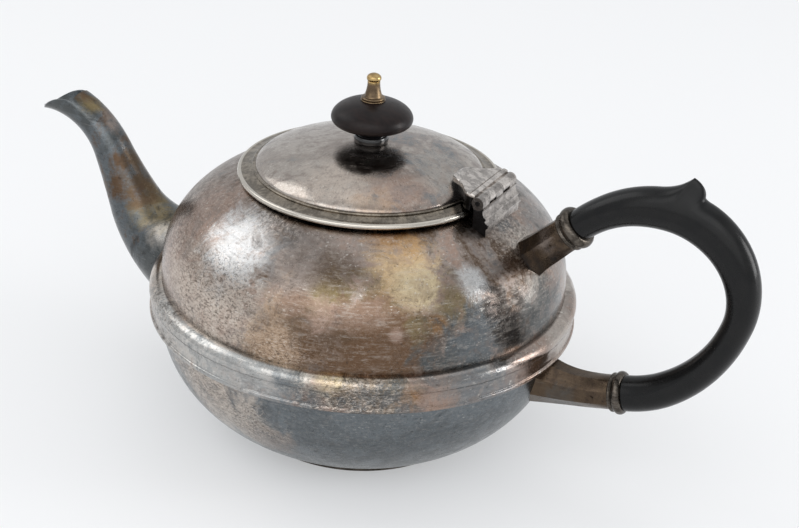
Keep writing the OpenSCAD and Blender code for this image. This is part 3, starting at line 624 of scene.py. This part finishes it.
def ebony(name, tint, sheen_tint, rough, coat):
    """Stained and polished hardwood, with fine pores along its grain and a worn polish."""
    s = Shader.named(name)
    grain = s.noise(1.0, 5.0, 0.65, source=s.scaled(170.0, 420.0, 170.0), warp=0.4)
    pores = s.noise(900.0, 2.0, 0.6)
    wear = s.noise(45.0, 6.0, 0.65)
    colour = s.mix(s.ramp(grain, 0.35, 0.70), tint, sheen_tint)
    s.links.new(colour, s.surface.inputs["Base Color"])
    worn = s.ramp(wear, 0.35, 0.70, rough - 0.06, rough + 0.09)
    dull = s.math("ADD", worn, s.ramp(pores, 0.5, 0.8, 0.0, 0.12))
    s.links.new(dull, s.surface.inputs["Roughness"])
    s.surface.inputs["Coat Weight"].default_value = coat
    s.surface.inputs["Coat Roughness"].default_value = 0.12
    s.surface.inputs["Specular IOR Level"].default_value = 0.2
    height = s.math("ADD", s.math("MULTIPLY", grain, 0.6), s.math("MULTIPLY", pores, 0.4))
    s.bumped(height, 0.00006, 0.4)
    return s.material


def brass(name):
    """Brass that is dark with age below the finial's ball and bare on it."""
    dark_z, bare_z = 131.8, 133.5
    s = Shader.named(name)
    broad = s.noise(260.0, 5.0, 0.6)
    height = s.add("ShaderNodeSeparateXYZ")
    s.links.new(s.place, height.inputs[0])
    bare = s.ramp(height.outputs[2], dark_z * MM, bare_z * MM)
    old = s.mix(s.ramp(broad, 0.40, 0.62), (0.12, 0.085, 0.055), (0.24, 0.17, 0.10))
    bright = s.mix(s.ramp(broad, 0.35, 0.65), (0.48, 0.34, 0.15), (0.30, 0.20, 0.09))
    s.links.new(s.mix(bare, old, bright), s.surface.inputs["Base Color"])
    s.surface.inputs["Metallic"].default_value = 1.0
    s.links.new(s.ramp(broad, 0.3, 0.7, 0.24, 0.42), s.surface.inputs["Roughness"])
    s.bumped(s.noise(1.0, 4.0, 0.7, source=s.turning(6.0, 2600.0)), 0.00004, 0.5)
    return s.material


UPPER, BOWL, BAND, LID = upper_plate(), bowl_plate(), band_plate(), lid_plate()
SPOUT, SOCKET = spout_plate(), socket_plate()
EDGE = worn_plate("worn_silver_edges", (0.50, 0.45, 0.39), 0.14)
# Painted highlight: the outer half of the rim's bead is lightened to stand for the bright line along it.
RIM = paint_bead_highlight(worn_plate("worn_silver_rim_painted_highlight", (0.30, 0.26, 0.21), 0.16), 45.4, (0.62, 0.58, 0.52))
HINGE = worn_plate("worn_silver_hinge_painted_shade", (0.50, 0.46, 0.43), 0.20)
# Painted shade: the bracket's end faces are darkened to stand for the shadow in its hollow ends.
paint_shade_past(HINGE, 1, 13.55, 13.45)
# Painted shade: below its top, away from the knuckles, the leaf is darkened to stand for the shadow under and
# beside it.
LEAF = paint_shade_past(worn_plate("worn_silver_leaf_painted_shade", (0.68, 0.63, 0.59), 0.20), 2, 105.7, 106.2, low_x=True)
FERRULE = worn_plate("worn_silver_ferrule", (0.11, 0.095, 0.08), 0.22)
HANDLE_WOOD = ebony("ebonised_handle", (0.003, 0.0032, 0.0036), (0.006, 0.0058, 0.0058), 0.26, 0.10)
KNOB_WOOD = ebony("ebonised_knob", (0.006, 0.0035, 0.0035), (0.014, 0.008, 0.007), 0.34, 0.0)
SPOOL_WOOD = ebony("ebonised_spool", (0.006, 0.006, 0.007), (0.010, 0.009, 0.009), 0.14, 0.9)
BRASS = brass("worn_brass")


# ---- Pot shells ----

def strainer_cutters():
    """One mesh of round bars, for piercing both shells behind the spout."""
    mesh = bmesh.new()
    radius, length, middle_x = STRAINER_R * MM, 24 * MM, -72
    spots = [(0.0, 0.0)]
    for ring in (1, 2):
        for k in range(6 * ring):
            a = 2 * math.pi * k / (6 * ring)
            spots.append((STRAINER_PITCH * ring * math.sin(a), STRAINER_PITCH * ring * math.cos(a)))
    for y, z in spots:
        spot = Vector((middle_x, y, SPOUT_Z + z)) * MM
        turn = Matrix.Translation(spot) @ Matrix.Rotation(math.pi / 2, 4, "Y")
        bmesh.ops.create_cone(
            mesh, cap_ends=True, segments=24, radius1=radius, radius2=radius, depth=length, matrix=turn)
    return scratch_object("strainer_cutters", mesh)


def pierce(mesh, cutters):
    """The mesh with the cutters taken out."""
    shell = scratch_object("shell", mesh)
    cut = shell.modifiers.new("holes", "BOOLEAN")
    cut.operation = "DIFFERENCE"
    cut.solver = "EXACT"
    cut.object = cutters
    result = bpy.data.meshes.new_from_object(shell.evaluated_get(bpy.context.evaluated_depsgraph_get()))
    bpy.data.objects.remove(shell)
    out = bmesh.new()
    out.from_mesh(result)
    return out


def lower_bowl(cutters):
    lap_z = SEAM_Z - LAP - WELD_GAP
    lap_r = BODY_R - WALL
    inner = [p for p in bowl_curve(WALL, FOOT_H + WALL) if p[1] < lap_z]
    outline = [(0, FOOT_H)] + bowl_curve(0, FOOT_H)[::-1]
    outline += [(BODY_R - 0.3, SEAM_Z), (lap_r, SEAM_Z), (lap_r, lap_z), (inner[0][0], lap_z)]
    outline += inner + [(0, FOOT_H + WALL)]
    mesh = turned(outline, upright)
    bmesh.ops.recalc_face_normals(mesh, faces=mesh.faces)
    finish_mesh("bowl_shell", pierce(mesh, cutters), "pot", ["lower_bowl"], BOWL)


def upper_body(cutters):
    outline = [(UPPER_R, SEAM_Z - LAP)] + crown_curve(0, MOUTH_R)
    outline += crown_curve(WALL, MOUTH_R)[::-1] + [(UPPER_R - WALL, SEAM_Z - LAP)]
    mesh = turned(outline, upright)
    bmesh.ops.recalc_face_normals(mesh, faces=mesh.faces)
    finish_mesh("upper_shell", pierce(mesh, cutters), "pot", ["upper_body"], UPPER)


def foot_ring():
    outer, top = bowl_r(FOOT_H), FOOT_H - WELD_GAP
    corners = [(outer - FOOT_W, 0), (outer, 0), (outer, top), (outer - FOOT_W, top)]
    mesh = turned(rounded(corners, 0.5), upright)
    finish_mesh("foot_ring_turned", mesh, "pot", ["foot_ring"], FERRULE)


def girdle_outline():
    """Section of the girdle, from its inner top corner round to the bead."""
    r, z, foot_z = GIRDLE_R, GIRDLE_EDGE_Z, GIRDLE_EDGE_Z + 0.3
    bead_r, bead_half_h, bead_z = 1.1, 1.05, 46.95
    shoulder = arc_points((GIRDLE_IN_R, foot_z), r - GIRDLE_IN_R, GIRDLE_TOP_Z - foot_z, 90, 4, 14)
    edge = [(r, z), (r - 0.08, z - 0.35), (r - 0.3, z - 0.6)]
    face = [(r - 0.62, 52.2), (r - 0.78, 50.6), (r - 0.72, 49.2), (r - 0.5, 48.35), (r - 0.62, 48.1)]
    bead = arc_points((r - bead_r, bead_z), bead_r, bead_half_h, 62, -90, 12)
    back_r, step_z = BODY_R + WELD_GAP, SEAM_Z + WELD_GAP
    return shoulder + edge + face + bead + [(back_r, GIRDLE_LOW_Z), (back_r, step_z), (GIRDLE_IN_R, step_z)]


def girdle_band():
    """The girdle stops inside the spout's wall on both sides."""
    mesh = bmesh.new()
    steps = 220
    rings = []
    outline = girdle_outline()
    inside = SPOUT_ROOT_R - 0.5
    for j in range(steps + 1):
        ring = []
        for r, z in outline:
            half = math.sqrt(max(1.0, inside ** 2 - (z - SPOUT_Z) ** 2))
            gap = math.asin(half / r)
            angle = -math.pi + gap + (2 * math.pi - 2 * gap) * j / steps
            ring.append((r * math.cos(angle), r * math.sin(angle), z))
        rings.append(ring)
    capped(mesh, rings)
    finish_mesh("girdle_moulding", mesh, "pot", ["girdle_band"], BAND, sharp=50)


def mouth_collar():
    outer, inner = MOUTH_R - WELD_GAP, MOUTH_R - WELD_GAP - 1.0
    low = MOUTH_Z - 5.5
    corners = [(inner, low), (outer, low), (outer, FLANGE_Z), (MOUTH_R + 1.45, FLANGE_Z),
               (MOUTH_R + 1.45, FLANGE_Z + 0.6), (inner, FLANGE_Z + 0.6)]
    mesh = turned(rounded(corners, 0.2), upright)
    finish_mesh("mouth_collar_turned", mesh, "pot", ["mouth_collar"], EDGE)


# ---- Spout ----

def spout_radius(s, angle, inset):
    """Radius of the spout, which is flatter above a soft edge on each side near its tip."""
    left = 1 - min(1, s / SPOUT_CROWN_S)
    radius = SPOUT_TIP_R + (SPOUT_ROOT_R - SPOUT_TIP_R) * left ** 2.25
    side = abs((angle + 180) % 360 - 180)
    near_tip = eased(0, 1, (s - SPOUT_CROWN_S + 34) / 30)
    shape = 0.42 * bump(side, 66, 15) - 0.25 * bump(side, 0, 34) - 0.2 * bump(side, 112, 26)
    return radius + near_tip * shape - inset


def beak_s(angle):
    side = abs((angle + 180) % 360 - 180)
    share = max(0, (side - BEAK_ANGLE) / (180 - BEAK_ANGLE))
    lip = 0.5 * bump(side, BEAK_ANGLE, 10)
    return SPOUT_CROWN_S + SPOUT_BEAK_L * share ** 0.65 - lip


def spout_point(s, angle, inset):
    x, z, heading = chain_at(SPOUT_START, SPOUT_ARCS, s)
    r, a, h = spout_radius(s, angle, inset), math.radians(angle), math.radians(heading)
    return (r * math.cos(a) * math.sin(h) - x, r * math.sin(a), z + r * math.cos(a) * math.cos(h))


def root_point(angle, inset):
    a = math.radians(angle)
    y, z = (SPOUT_ROOT_R - inset) * math.sin(a), SPOUT_Z + (SPOUT_ROOT_R - inset) * math.cos(a)
    return (-math.sqrt((pot_r(z) - 0.15) ** 2 - y * y), y, z)


def spout():
    sides, rings = 96, 110
    angles = [360 * j / sides for j in range(sides)]

    def side(inset):
        out = [[root_point(a, inset) for a in angles]]
        for i in range(rings):
            out.append([spout_point(beak_s(a) * i / (rings - 1), a, inset) for a in angles])
        return out

    outer, inner = side(0), side(SPOUT_WALL)
    rim = [[(Vector(p) + Vector(q)) / 2 + Vector((-0.12, 0, 0.12)) for p, q in zip(outer[-1], inner[-1])]]
    mesh = bmesh.new()
    skin(mesh, outer + rim + inner[::-1], closed_path=True)
    finish_mesh("spout_shell", mesh, "pot", ["spout"], SPOUT, sharp=55)


# ---- Handle, sockets and ferrules ----

HANDLE_L = sum(arc_length(arc) for arc in HANDLE_ARCS)
GRIP_START = ahead(HANDLE_START, UPPER_FERRULE_L)
HANDLE_END = ahead(chain_at(GRIP_START, HANDLE_ARCS, HANDLE_L), LOWER_FERRULE_L)
SWELL_S, WAIST_S = 0.307 * HANDLE_L, 0.642 * HANDLE_L
SPUR_FROM, SPUR_TO = 0.210 * HANDLE_L, 0.329 * HANDLE_L
SPUR_CURVE = (
    ((0.0, 0.0), (4.5, 0.1), (8.3, 1.8), (10.6, 5.6)),
    ((10.6, 5.6), (12.4, 4.9), (13.9, 3.2), (13.6, 0.9)),
    ((13.6, 0.9), (13.3, 0.1), (13.6, -0.2), (15.4, 0.0)),
)


def bezier(points, t):
    weights = ((1 - t) ** 3, 3 * t * (1 - t) ** 2, 3 * t * t * (1 - t), t ** 3)
    return [sum(w * p[axis] for w, p in zip(weights, points)) for axis in (0, 1)]


def grip_radius(s):
    if s < SWELL_S:
        radius = eased(GRIP_START_R, GRIP_SWELL_R, s / SWELL_S)
    elif s < WAIST_S:
        radius = eased(GRIP_SWELL_R, GRIP_WAIST_R, (s - SWELL_S) / (WAIST_S - SWELL_S))
    else:
        radius = eased(GRIP_WAIST_R, GRIP_END_R, (s - WAIST_S) / (HANDLE_L - WAIST_S))
    return radius - POLISH


def spur_offset(s):
    """How far the thumb rest stands forward of and above the handle's outer side."""
    share = (s - SPUR_FROM) / (SPUR_TO - SPUR_FROM)
    if not 0 < share < 1:
        return 0.0, 0.0
    part = min(2, int(share * 3))
    forward, up = bezier(SPUR_CURVE[part], share * 3 - part)
    return forward - (s - SPUR_FROM), up


def grip_ring(s, sides):
    x, z, heading = chain_at(GRIP_START, HANDLE_ARCS, s)
    h = math.radians(heading)
    forward, up = spur_offset(s)
    crest = 0.22 * eased(0, 1, (s - 8) / 14) * eased(1, 0, (s - 64) / 40)
    ring = []
    for j in range(sides):
        a = 2 * math.pi * j / sides
        weight = max(0, math.cos(a)) ** 3
        edge = crest * (bump(a, math.pi / 2 + 0.15, 0.13) + bump(a, 1.5 * math.pi - 0.15, 0.13))
        out = grip_radius(s) * math.cos(a) + up * weight
        on = forward * weight
        y = (GRIP_SIDE_R - 0.1 + edge) * math.sin(a) * (1 - 0.45 * weight * min(1, max(0, up) / 5))
        ring.append((x + on * math.cos(h) - out * math.sin(h), y, z + on * math.sin(h) + out * math.cos(h)))
    return ring


def handle():
    sides = 56
    stops = [HANDLE_L * i / 150 for i in range(151)]
    stops += [SPUR_FROM + (SPUR_TO - SPUR_FROM) * i / 54 for i in range(1, 54)]
    rings = [grip_ring(s, sides) for s in sorted(stops)]
    mesh = bmesh.new()
    verts = skin(mesh, rings)
    for ring, s in ((verts[0], 0), (verts[-1], HANDLE_L)):
        x, z, _ = chain_at(GRIP_START, HANDLE_ARCS, s)
        fan(mesh, ring, (x, 0, z))
    for state, ferrule_l in ((HANDLE_START, UPPER_FERRULE_L), (facing_back(HANDLE_END), LOWER_FERRULE_L)):
        root = ferrule_l + TENON_ROOT
        outline = [(0, -TENON_L), (TENON_R - TENON_BEVEL, -TENON_L), (TENON_R, TENON_BEVEL - TENON_L)]
        tenon = turned(outline + [(TENON_R, root), (0, root)], along(state), 48)
        data = bpy.data.meshes.new("tenon")
        tenon.to_mesh(data)
        tenon.free()
        mesh.from_mesh(data)
    finish_mesh("handle_grip", mesh, "pot", ["handle"], HANDLE_WOOD, sharp=60)


def facing_back(state):
    return (state[0], state[1], state[2] + 180)


SOCKET_FACES, FACET_SWELL = 8, 1.04


def faceted(angle):
    """Radius share of a regular outline with flat faces, at an angle in degrees."""
    half = 180 / SOCKET_FACES
    return math.cos(math.radians(half)) / math.cos(math.radians((angle + half) % (2 * half) - half))


def socket(name, node, stations):
    """A soldered socket. A station is (x, z, heading, half height, half width, flatness)."""
    sides = 96
    rings = []
    for x, z, heading, up_r, side_r, flat in stations:
        h = math.radians(heading)
        ring = []
        for j in range(sides):
            angle = 360 * j / sides
            a = math.radians(angle)
            shape = 1 + flat * (faceted(angle) * FACET_SWELL - 1)
            out, y = up_r * shape * math.cos(a), side_r * shape * math.sin(a)
            ring.append((x - out * math.sin(h), y, z + out * math.cos(h)))
        rings.append(ring)
    mesh = bmesh.new()
    capped(mesh, rings)
    finish_mesh(name, mesh, "pot", [node], SOCKET, sharp=16)


def upper_socket():
    x1, z1, heading = HANDLE_START
    c, s = math.cos(math.radians(heading)), math.sin(math.radians(heading))
    length, steps = 21.5, 24
    stations = []
    for i in range(steps + 1):
        back = length * i / steps
        flare = 1.6 * max(0, (back - 11.5) / 10) ** 2
        radius = SOCKET_R + 0.5 * i / steps
        flat = eased(0.25, 1, back / 7)
        stations.append((x1 - back * c, z1 - back * s, heading, radius + flare, radius - 0.3 + flare, flat))
    socket("upper_socket_shell", "upper_socket", stations)


def lower_socket():
    """Its underside runs straight to the bowl, and its top sweeps up under the girdle."""
    x1, z1, heading = HANDLE_END
    root_x, steps = 67.0, 30
    stations = []
    for i in range(steps + 1):
        share = i / steps
        x = x1 - (x1 - root_x) * share
        low = z1 - SOCKET_R - 6.3 * share
        dip = 2.2 * math.sin(math.pi * min(1, share * 1.2))
        sweep = 1.6 * max(0, share - 0.55) ** 1.5 * 3.3
        high = z1 + SOCKET_R - dip + sweep
        flat = eased(0.2, 1, share * 3)
        tilt = eased(heading + 180, 6, share * 1.5)
        side_r = SOCKET_R - 0.2 + 3.6 * share ** 2.2
        stations.append((x, (low + high) / 2, tilt, (high - low) / 2, side_r, flat))
    socket("lower_socket_shell", "lower_socket", stations)


def ferrule(name, node, state, length):
    """A thin fillet beside the socket, a groove, and a fat bead beside the handle."""
    bore_r, high = TENON_R + WELD_GAP, length - WELD_GAP
    fillet_out, fillet_z = 0.5, 0.6
    bead_out, bead_half_l, bead_low = 1.9, (length - 1.5) / 2, 1.4
    outline = [(bore_r, WELD_GAP), (SOCKET_R + 0.2, WELD_GAP)]
    outline += arc_points((SOCKET_R + 0.75 - fillet_out, fillet_z), fillet_out, fillet_out, -70, 70, 6)
    outline += [(SOCKET_R + 0.35, 1.25)]
    bead_centre = (FERRULE_R - bead_out, bead_low + bead_half_l)
    outline += arc_points(bead_centre, bead_out, bead_half_l - WELD_GAP, -75, 75, 14)
    outline += [(6.3, high), (bore_r, high)]
    mesh = turned(outline, along(state), 96)
    finish_mesh(name, mesh, "pot", [node], FERRULE)


# ---- Lid ----

def lid_dome():
    outer = dome_curve(DOME_R, DOME_Z)
    inner = dome_curve(DOME_R - 1, DOME_Z - 1)
    inner = [p for p in inner if p[1] > DOME_Z]
    outline = [(BORE_R, outer[0][1])] + outer[2:] + [(inner[-1][0], DOME_Z)]
    outline += inner[:1:-1] + [(BORE_R, inner[0][1])]
    mesh = turned(outline, upright)
    finish_mesh("lid_dome_shell", mesh, "lid", ["lid_dome"], LID)


def lid_rim():
    """A coved flange: a flat step at the dome, a hollow curve, and a bead that turns down at the edge."""
    step = [(DOME_R - 1.2, DOME_Z - 0.05), (DOME_R + 0.75, DOME_Z - 0.02)]
    step += arc_points((DOME_R + 0.8, DOME_Z - 0.42), 0.4, 0.4, 80, -60, 6)
    cove = []
    for i in range(1, 13):
        share = i / 12
        r = DOME_R + 1.1 + (LID_R - 1.5 - DOME_R - 1.1) * share
        cove.append((r, LID_Z + 1.15 - 0.75 * math.sin(math.pi / 2 * share)))
    bead = arc_points((LID_R - 1.0, LID_Z - 0.55), 1.0, 1.0, 118, -178, 22)
    under = [(LID_R - 2.1, LID_Z), (BEZEL_IN_R, LID_Z), (BEZEL_IN_R, LID_Z + 1), (DOME_R - 1.2, LID_Z + 1)]
    mesh = turned(step + cove + bead + under, upright)
    finish_mesh("lid_rim_moulding", mesh, "lid", ["lid_rim"], RIM)


def lid_bezel():
    low, high = LID_Z - BEZEL_DEPTH, LID_Z - WELD_GAP
    corners = [(BEZEL_IN_R, low), (BEZEL_R, low), (BEZEL_R, high), (BEZEL_IN_R, high)]
    mesh = turned(rounded(corners, 0.3), upright)
    finish_mesh("lid_bezel_ring", mesh, "lid", ["lid_bezel"], EDGE)


# ---- Knob ----

SPOOL_H, BUTTON_LOW_H, BUTTON_TOP_H, BUTTON_R = 6.6, 2.6, 6.3, 14.45
FINIAL_H, BALL_R, BALL_HALF_H = 9.9, 2.57, 1.72
SPOOL_Z = DOME_TOP - 0.3
BUTTON_Z = SPOOL_Z + SPOOL_H + BUTTON_LOW_H
FINIAL_Z = BUTTON_Z + BUTTON_TOP_H


def knob_spool():
    top = SPOOL_Z + SPOOL_H
    outline = [(BORE_R, SPOOL_Z + 0.2), (5.7, SPOOL_Z + 0.05)]
    outline += arc_points((5.6, SPOOL_Z + 1.6), 0.6, 1.5, -75, 75, 10)
    outline += [(5.35, SPOOL_Z + 3.15)]
    outline += arc_points((5.9, SPOOL_Z + 5.0), 1.5, 1.7, 240, 140, 10)
    outline += [(4.9, top - 0.05), (BORE_R, top - 0.05)]
    mesh = turned(outline, upright, 96)
    finish_mesh("knob_spool_turned", mesh, "lid", ["knob_spool"], SPOOL_WOOD)


def knob_button():
    low, high, edge_r = BUTTON_Z - BUTTON_LOW_H, FINIAL_Z - 0.05, 3.25
    outline = [(BORE_R, low + 0.5), (4.2, low + 0.5), (5.2, low + 0.05)]
    outline += arc_points((BUTTON_R - edge_r, BUTTON_Z), edge_r, BUTTON_LOW_H, -88, 0, 12)
    outline += arc_points((0, BUTTON_Z), BUTTON_R, BUTTON_TOP_H + 0.4, 3, 72, 26)
    outline += [(4.45, high), (BORE_R, high)]
    mesh = turned(outline, upright, 128)
    finish_mesh("knob_button_turned", mesh, "lid", ["knob_button"], KNOB_WOOD)


def knob_finial():
    ball_z, low, tip = FINIAL_Z + FINIAL_H - BALL_HALF_H, 105.9, 0.3
    outline = [(0, low), (SCREW_R - tip, low), (SCREW_R, low + tip), (SCREW_R, FINIAL_Z)]
    outline += [(4.0, FINIAL_Z)] + arc_points((3.95, FINIAL_Z + 0.3), 0.42, 0.28, -80, 80, 6)
    outline += [(3.85, FINIAL_Z + 0.62)] + arc_points((3.7, FINIAL_Z + 1.05), 0.5, 0.4, -70, 85, 6)
    outline += [(3.2, FINIAL_Z + 1.5), (3.0, FINIAL_Z + 1.75), (2.95, FINIAL_Z + 2.4), (2.75, FINIAL_Z + 3.0)]
    outline += [(2.5, FINIAL_Z + 4.0), (2.3, FINIAL_Z + 5.2), (2.2, ball_z - 1.55), (2.25, ball_z - 1.35)]
    outline += arc_points((0, ball_z), BALL_R, BALL_HALF_H, -38, 86, 18) + [(0, ball_z + BALL_HALF_H)]
    mesh = turned(outline, upright, 64)
    finish_mesh("knob_finial_turned", mesh, "lid", ["knob_finial"], BRASS)


# ---- Hinge ----

def prism(mesh, outline, low, high, place):
    """A solid between two copies of an outline. place maps (u, v, level) to a point."""
    rings = [[place(u, v, level) for u, v in outline] for level in (low, high)]
    capped(mesh, rings)


def across(u, v, level):
    return (u, level, v)


def knuckle_span(i):
    width = HINGE_W / 5
    start = -HINGE_W / 2 + i * width
    return start + KNUCKLE_GAP, start + width - KNUCKLE_GAP


def bevelled(piece, width):
    cut = piece.modifiers.new("worn_edges", "BEVEL")
    cut.width = width * MM
    cut.segments = 2
    cut.limit_method = "ANGLE"
    cut.angle_limit = math.radians(40)
    return piece


def barrel_outline(start, end, steps):
    return arc_points((PIN_X, PIN_Z), BARREL_R, BARREL_R, start, end, steps)


def bracket_outline():
    """Section of the bracket: a rounded top, a hollow neck, two fillets and a flared foot."""
    inner, z = PIN_X - 1.2, PIN_Z
    outer = PIN_X + 2.6
    cradle = arc_points((PIN_X, z), 2.5, 2.5, 240, 325, 8)
    return [(inner, z - 2.3)] + cradle + [
        (outer - 0.15, z - 1.5), (outer - 0.5, z - 2.6), (outer - 0.3, z - 3.6), (outer + 0.1, z - 4.4),
        (outer + 0.9, z - 4.9), (outer + 0.9, z - 5.5), (outer + 0.5, z - 5.8), (outer + 0.9, z - 6.4),
        (outer + 1.9, z - 7.0), (outer + 1.9, z - 7.9), (outer + 1.2, z - 8.5), (outer + 1.2, z - 11.9),
        (inner, z - 11.9),
    ]


def hinge_bracket():
    mesh = bmesh.new()
    prism(mesh, bracket_outline(), -HINGE_W / 2, HINGE_W / 2, across)
    neck = [(PIN_X - 1.2, PIN_Z - 2.65), (PIN_X + 2.1, PIN_Z - 2.65)]
    for i in (0, 2, 4):
        low, high = knuckle_span(i)
        prism(mesh, neck + barrel_outline(0, 220, 20), low, high, across)
    piece = finish_mesh("hinge_bracket_moulding", mesh, "pot", ["hinge_bracket"], HINGE, 30)
    bevelled(piece, 0.18)


# The leaf's bell shape, as (x, half width), and its profile with two ribs, as (x, height)
LEAF_TIP_X = 34.0
LEAF_HALF_WIDTHS = (
    (LEAF_TIP_X, 0.4), (34.1, 2.6), (34.5, 4.0), (35.2, 5.0), (36.4, 5.8), (38.0, 6.6), (39.6, 7.8),
    (41.0, 9.4), (42.2, 11.0), (43.2, 12.2), (44.2, 13.0), (45.6, 13.5), (47.4, 13.55),
)
LEAF_TOPS = (
    (LEAF_TIP_X, 107.1), (34.2, 107.5), (35.0, 107.85), (37.0, 107.85), (40.0, 107.35), (43.4, 106.75),
    (43.55, 107.05), (45.2, 106.85), (45.3, 106.55), (45.6, 106.5), (45.7, 107.0), (46.6, 106.95),
    (47.3, 106.6), (47.4, 105.2),
)


def table_value(table, x):
    """Straight interpolation in a table of pairs."""
    for (x0, v0), (x1, v1) in zip(table, table[1:]):
        if x <= x1:
            return v0 + (v1 - v0) * max(0, x - x0) / (x1 - x0)
    return table[-1][1]


def dome_height(radius):
    share = min(1, radius / DOME_R)
    return DOME_Z + DOME_H * (1 - share * share) ** DOME_POWER


def leaf_section(x):
    """Section of the leaf across the hinge, from its near lower corner over its top."""
    half, top = table_value(LEAF_HALF_WIDTHS, x), table_value(LEAF_TOPS, x)
    low = dome_height(math.hypot(x, half)) - 0.4
    if x > PIN_X - 2.6:
        low = PIN_Z + 1.3
    soft = min(0.35, half / 2)
    near = [(x, -half, low), (x, -half, top - 0.45), (x, -half + soft, top)]
    return near + [(x, -y, z) for x, y, z in near[::-1]]


def hinge_leaf():
    mesh = bmesh.new()
    spaced = {LEAF_TIP_X + 0.4 * i for i in range(34)}
    stations = sorted({x for x, _ in LEAF_HALF_WIDTHS + LEAF_TOPS} | spaced)
    capped(mesh, [leaf_section(x) for x in stations])
    low, high = PIN_Z - 0.9, PIN_Z + 2.1
    web = [(PIN_X - 3.2, low), (PIN_X - 1.0, low), (PIN_X - 0.6, high), (PIN_X - 3.2, high)]
    for i in (1, 3):
        start, end = knuckle_span(i)
        prism(mesh, barrel_outline(0, 360, 28)[:-1], start, end, across)
        prism(mesh, web, start, end, across)
    piece = finish_mesh("hinge_leaf_plate", mesh, "lid", ["hinge_leaf"], LEAF, 30)
    bevelled(piece, 0.10)


# ---- CAD nodes that stay as they are ----

def dress(node, material):
    """A better material, and slightly eased edges, for a CAD node that shows."""
    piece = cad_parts[node]
    piece.data.materials.clear()
    piece.data.materials.append(material)
    bevelled(piece, 0.08)


# ---- Room, lights and camera ----

FLOOR_COLOUR, FLOOR_GLOW = (0.52, 0.52, 0.525), 0.35
LAMP_TARGET = (0, 0, 0.05)


def floor():
    """A pale floor. To the camera and in reflections it glows a little, and it keeps the pot's shadow."""
    mesh = bmesh.new()
    bmesh.ops.create_grid(mesh, x_segments=2, y_segments=2, size=4.0)
    data = bpy.data.meshes.new("floor")
    mesh.to_mesh(data)
    mesh.free()
    plane = bpy.data.objects.new("floor", data)
    bpy.context.scene.collection.objects.link(plane)
    s = Shader.named("pale_floor")
    rays = s.add("ShaderNodeLightPath")
    seen = s.math("MAXIMUM", rays.outputs["Is Camera Ray"], rays.outputs["Is Glossy Ray"])
    seen = s.math("MAXIMUM", seen, rays.outputs["Is Transmission Ray"])
    s.links.new(s.math("MULTIPLY", seen, FLOOR_GLOW), s.surface.inputs["Emission Strength"])
    s.surface.inputs["Emission Color"].default_value = (0.98, 0.99, 1.0, 1)
    s.surface.inputs["Base Color"].default_value = (*FLOOR_COLOUR, 1)
    s.surface.inputs["Roughness"].default_value = 0.55
    s.surface.inputs["Specular IOR Level"].default_value = 0.25
    plane.data.materials.append(s.material)


def softbox(name, direction, distance, size, power):
    lamp = bpy.data.lights.new(name, "AREA")
    lamp.shape = "RECTANGLE"
    lamp.size, lamp.size_y = size
    lamp.energy = power
    lamp_object = bpy.data.objects.new(name, lamp)
    bpy.context.scene.collection.objects.link(lamp_object)
    target = Vector(LAMP_TARGET)
    lamp_object.location = target + Vector(direction).normalized() * distance
    lamp_object.rotation_euler = (target - lamp_object.location).to_track_quat("-Z", "Y").to_euler()


def room():
    world = bpy.data.worlds.new("studio")
    bpy.context.scene.world = world
    world.use_nodes = True
    background = world.node_tree.nodes["Background"]
    background.inputs["Color"].default_value = (0.96, 0.98, 1.0, 1)
    background.inputs["Strength"].default_value = 0.79
    softbox("key_softbox", (-0.72, -0.12, 0.66), 1.3, (0.75, 0.75), 2.3)
    softbox("top_softbox", (0.10, 0.25, 1.0), 1.5, (1.1, 1.1), 1.2)
    softbox("right_softbox", (0.90, 0.36, 0.26), 1.4, (0.55, 0.7), 7.0)
    softbox("boom_softbox", (0.10, -0.70, 0.75), 1.6, (1.8, 0.9), 4.0)
    softbox("front_softbox", (0.20, -0.80, 0.48), 1.5, (2.6, 1.2), 6.5)


CAMERA_LOCATION = (0.244545, -0.462176, 0.322623)
CAMERA_AZIMUTH, CAMERA_ELEVATION, CAMERA_ROLL = 26.5, 26.405, 3.468
CAMERA_LENS, CAMERA_SENSOR = 72.0, 36.0


def camera():
    a, e, roll = (math.radians(v) for v in (CAMERA_AZIMUTH, CAMERA_ELEVATION, CAMERA_ROLL))
    right = Vector((math.cos(a), math.sin(a), 0))
    back = Vector((math.sin(a) * math.cos(e), -math.cos(a) * math.cos(e), math.sin(e)))
    up = back.cross(right)
    x_axis = right * math.cos(roll) + up * math.sin(roll)
    y_axis = up * math.cos(roll) - right * math.sin(roll)
    data = bpy.data.cameras.new("camera")
    data.lens, data.sensor_width = CAMERA_LENS, CAMERA_SENSOR
    view = bpy.data.objects.new("camera", data)
    bpy.context.scene.collection.objects.link(view)
    turn = Matrix((x_axis, y_axis, back)).transposed().to_4x4()
    view.matrix_world = Matrix.Translation(CAMERA_LOCATION) @ turn
    bpy.context.scene.camera = view


def build():
    cutters = strainer_cutters()
    lower_bowl(cutters)
    upper_body(cutters)
    bpy.data.objects.remove(cutters)
    foot_ring()
    girdle_band()
    mouth_collar()
    spout()
    handle()
    upper_socket()
    lower_socket()
    ferrule("upper_ferrule_turned", "upper_ferrule", HANDLE_START, UPPER_FERRULE_L)
    ferrule("lower_ferrule_turned", "lower_ferrule", facing_back(HANDLE_END), LOWER_FERRULE_L)
    lid_dome()
    lid_rim()
    lid_bezel()
    knob_spool()
    knob_button()
    knob_finial()
    hinge_bracket()
    hinge_leaf()
    dress("hinge_pin", HINGE)
    for node in ("upper_handle_pin", "lower_handle_pin"):
        dress(node, SOCKET)
    for node in ("knob_washer", "knob_nut"):
        dress(node, BRASS)
    floor()
    room()
    camera()


build()
bpy.context.scene.view_settings.view_transform = "Standard"
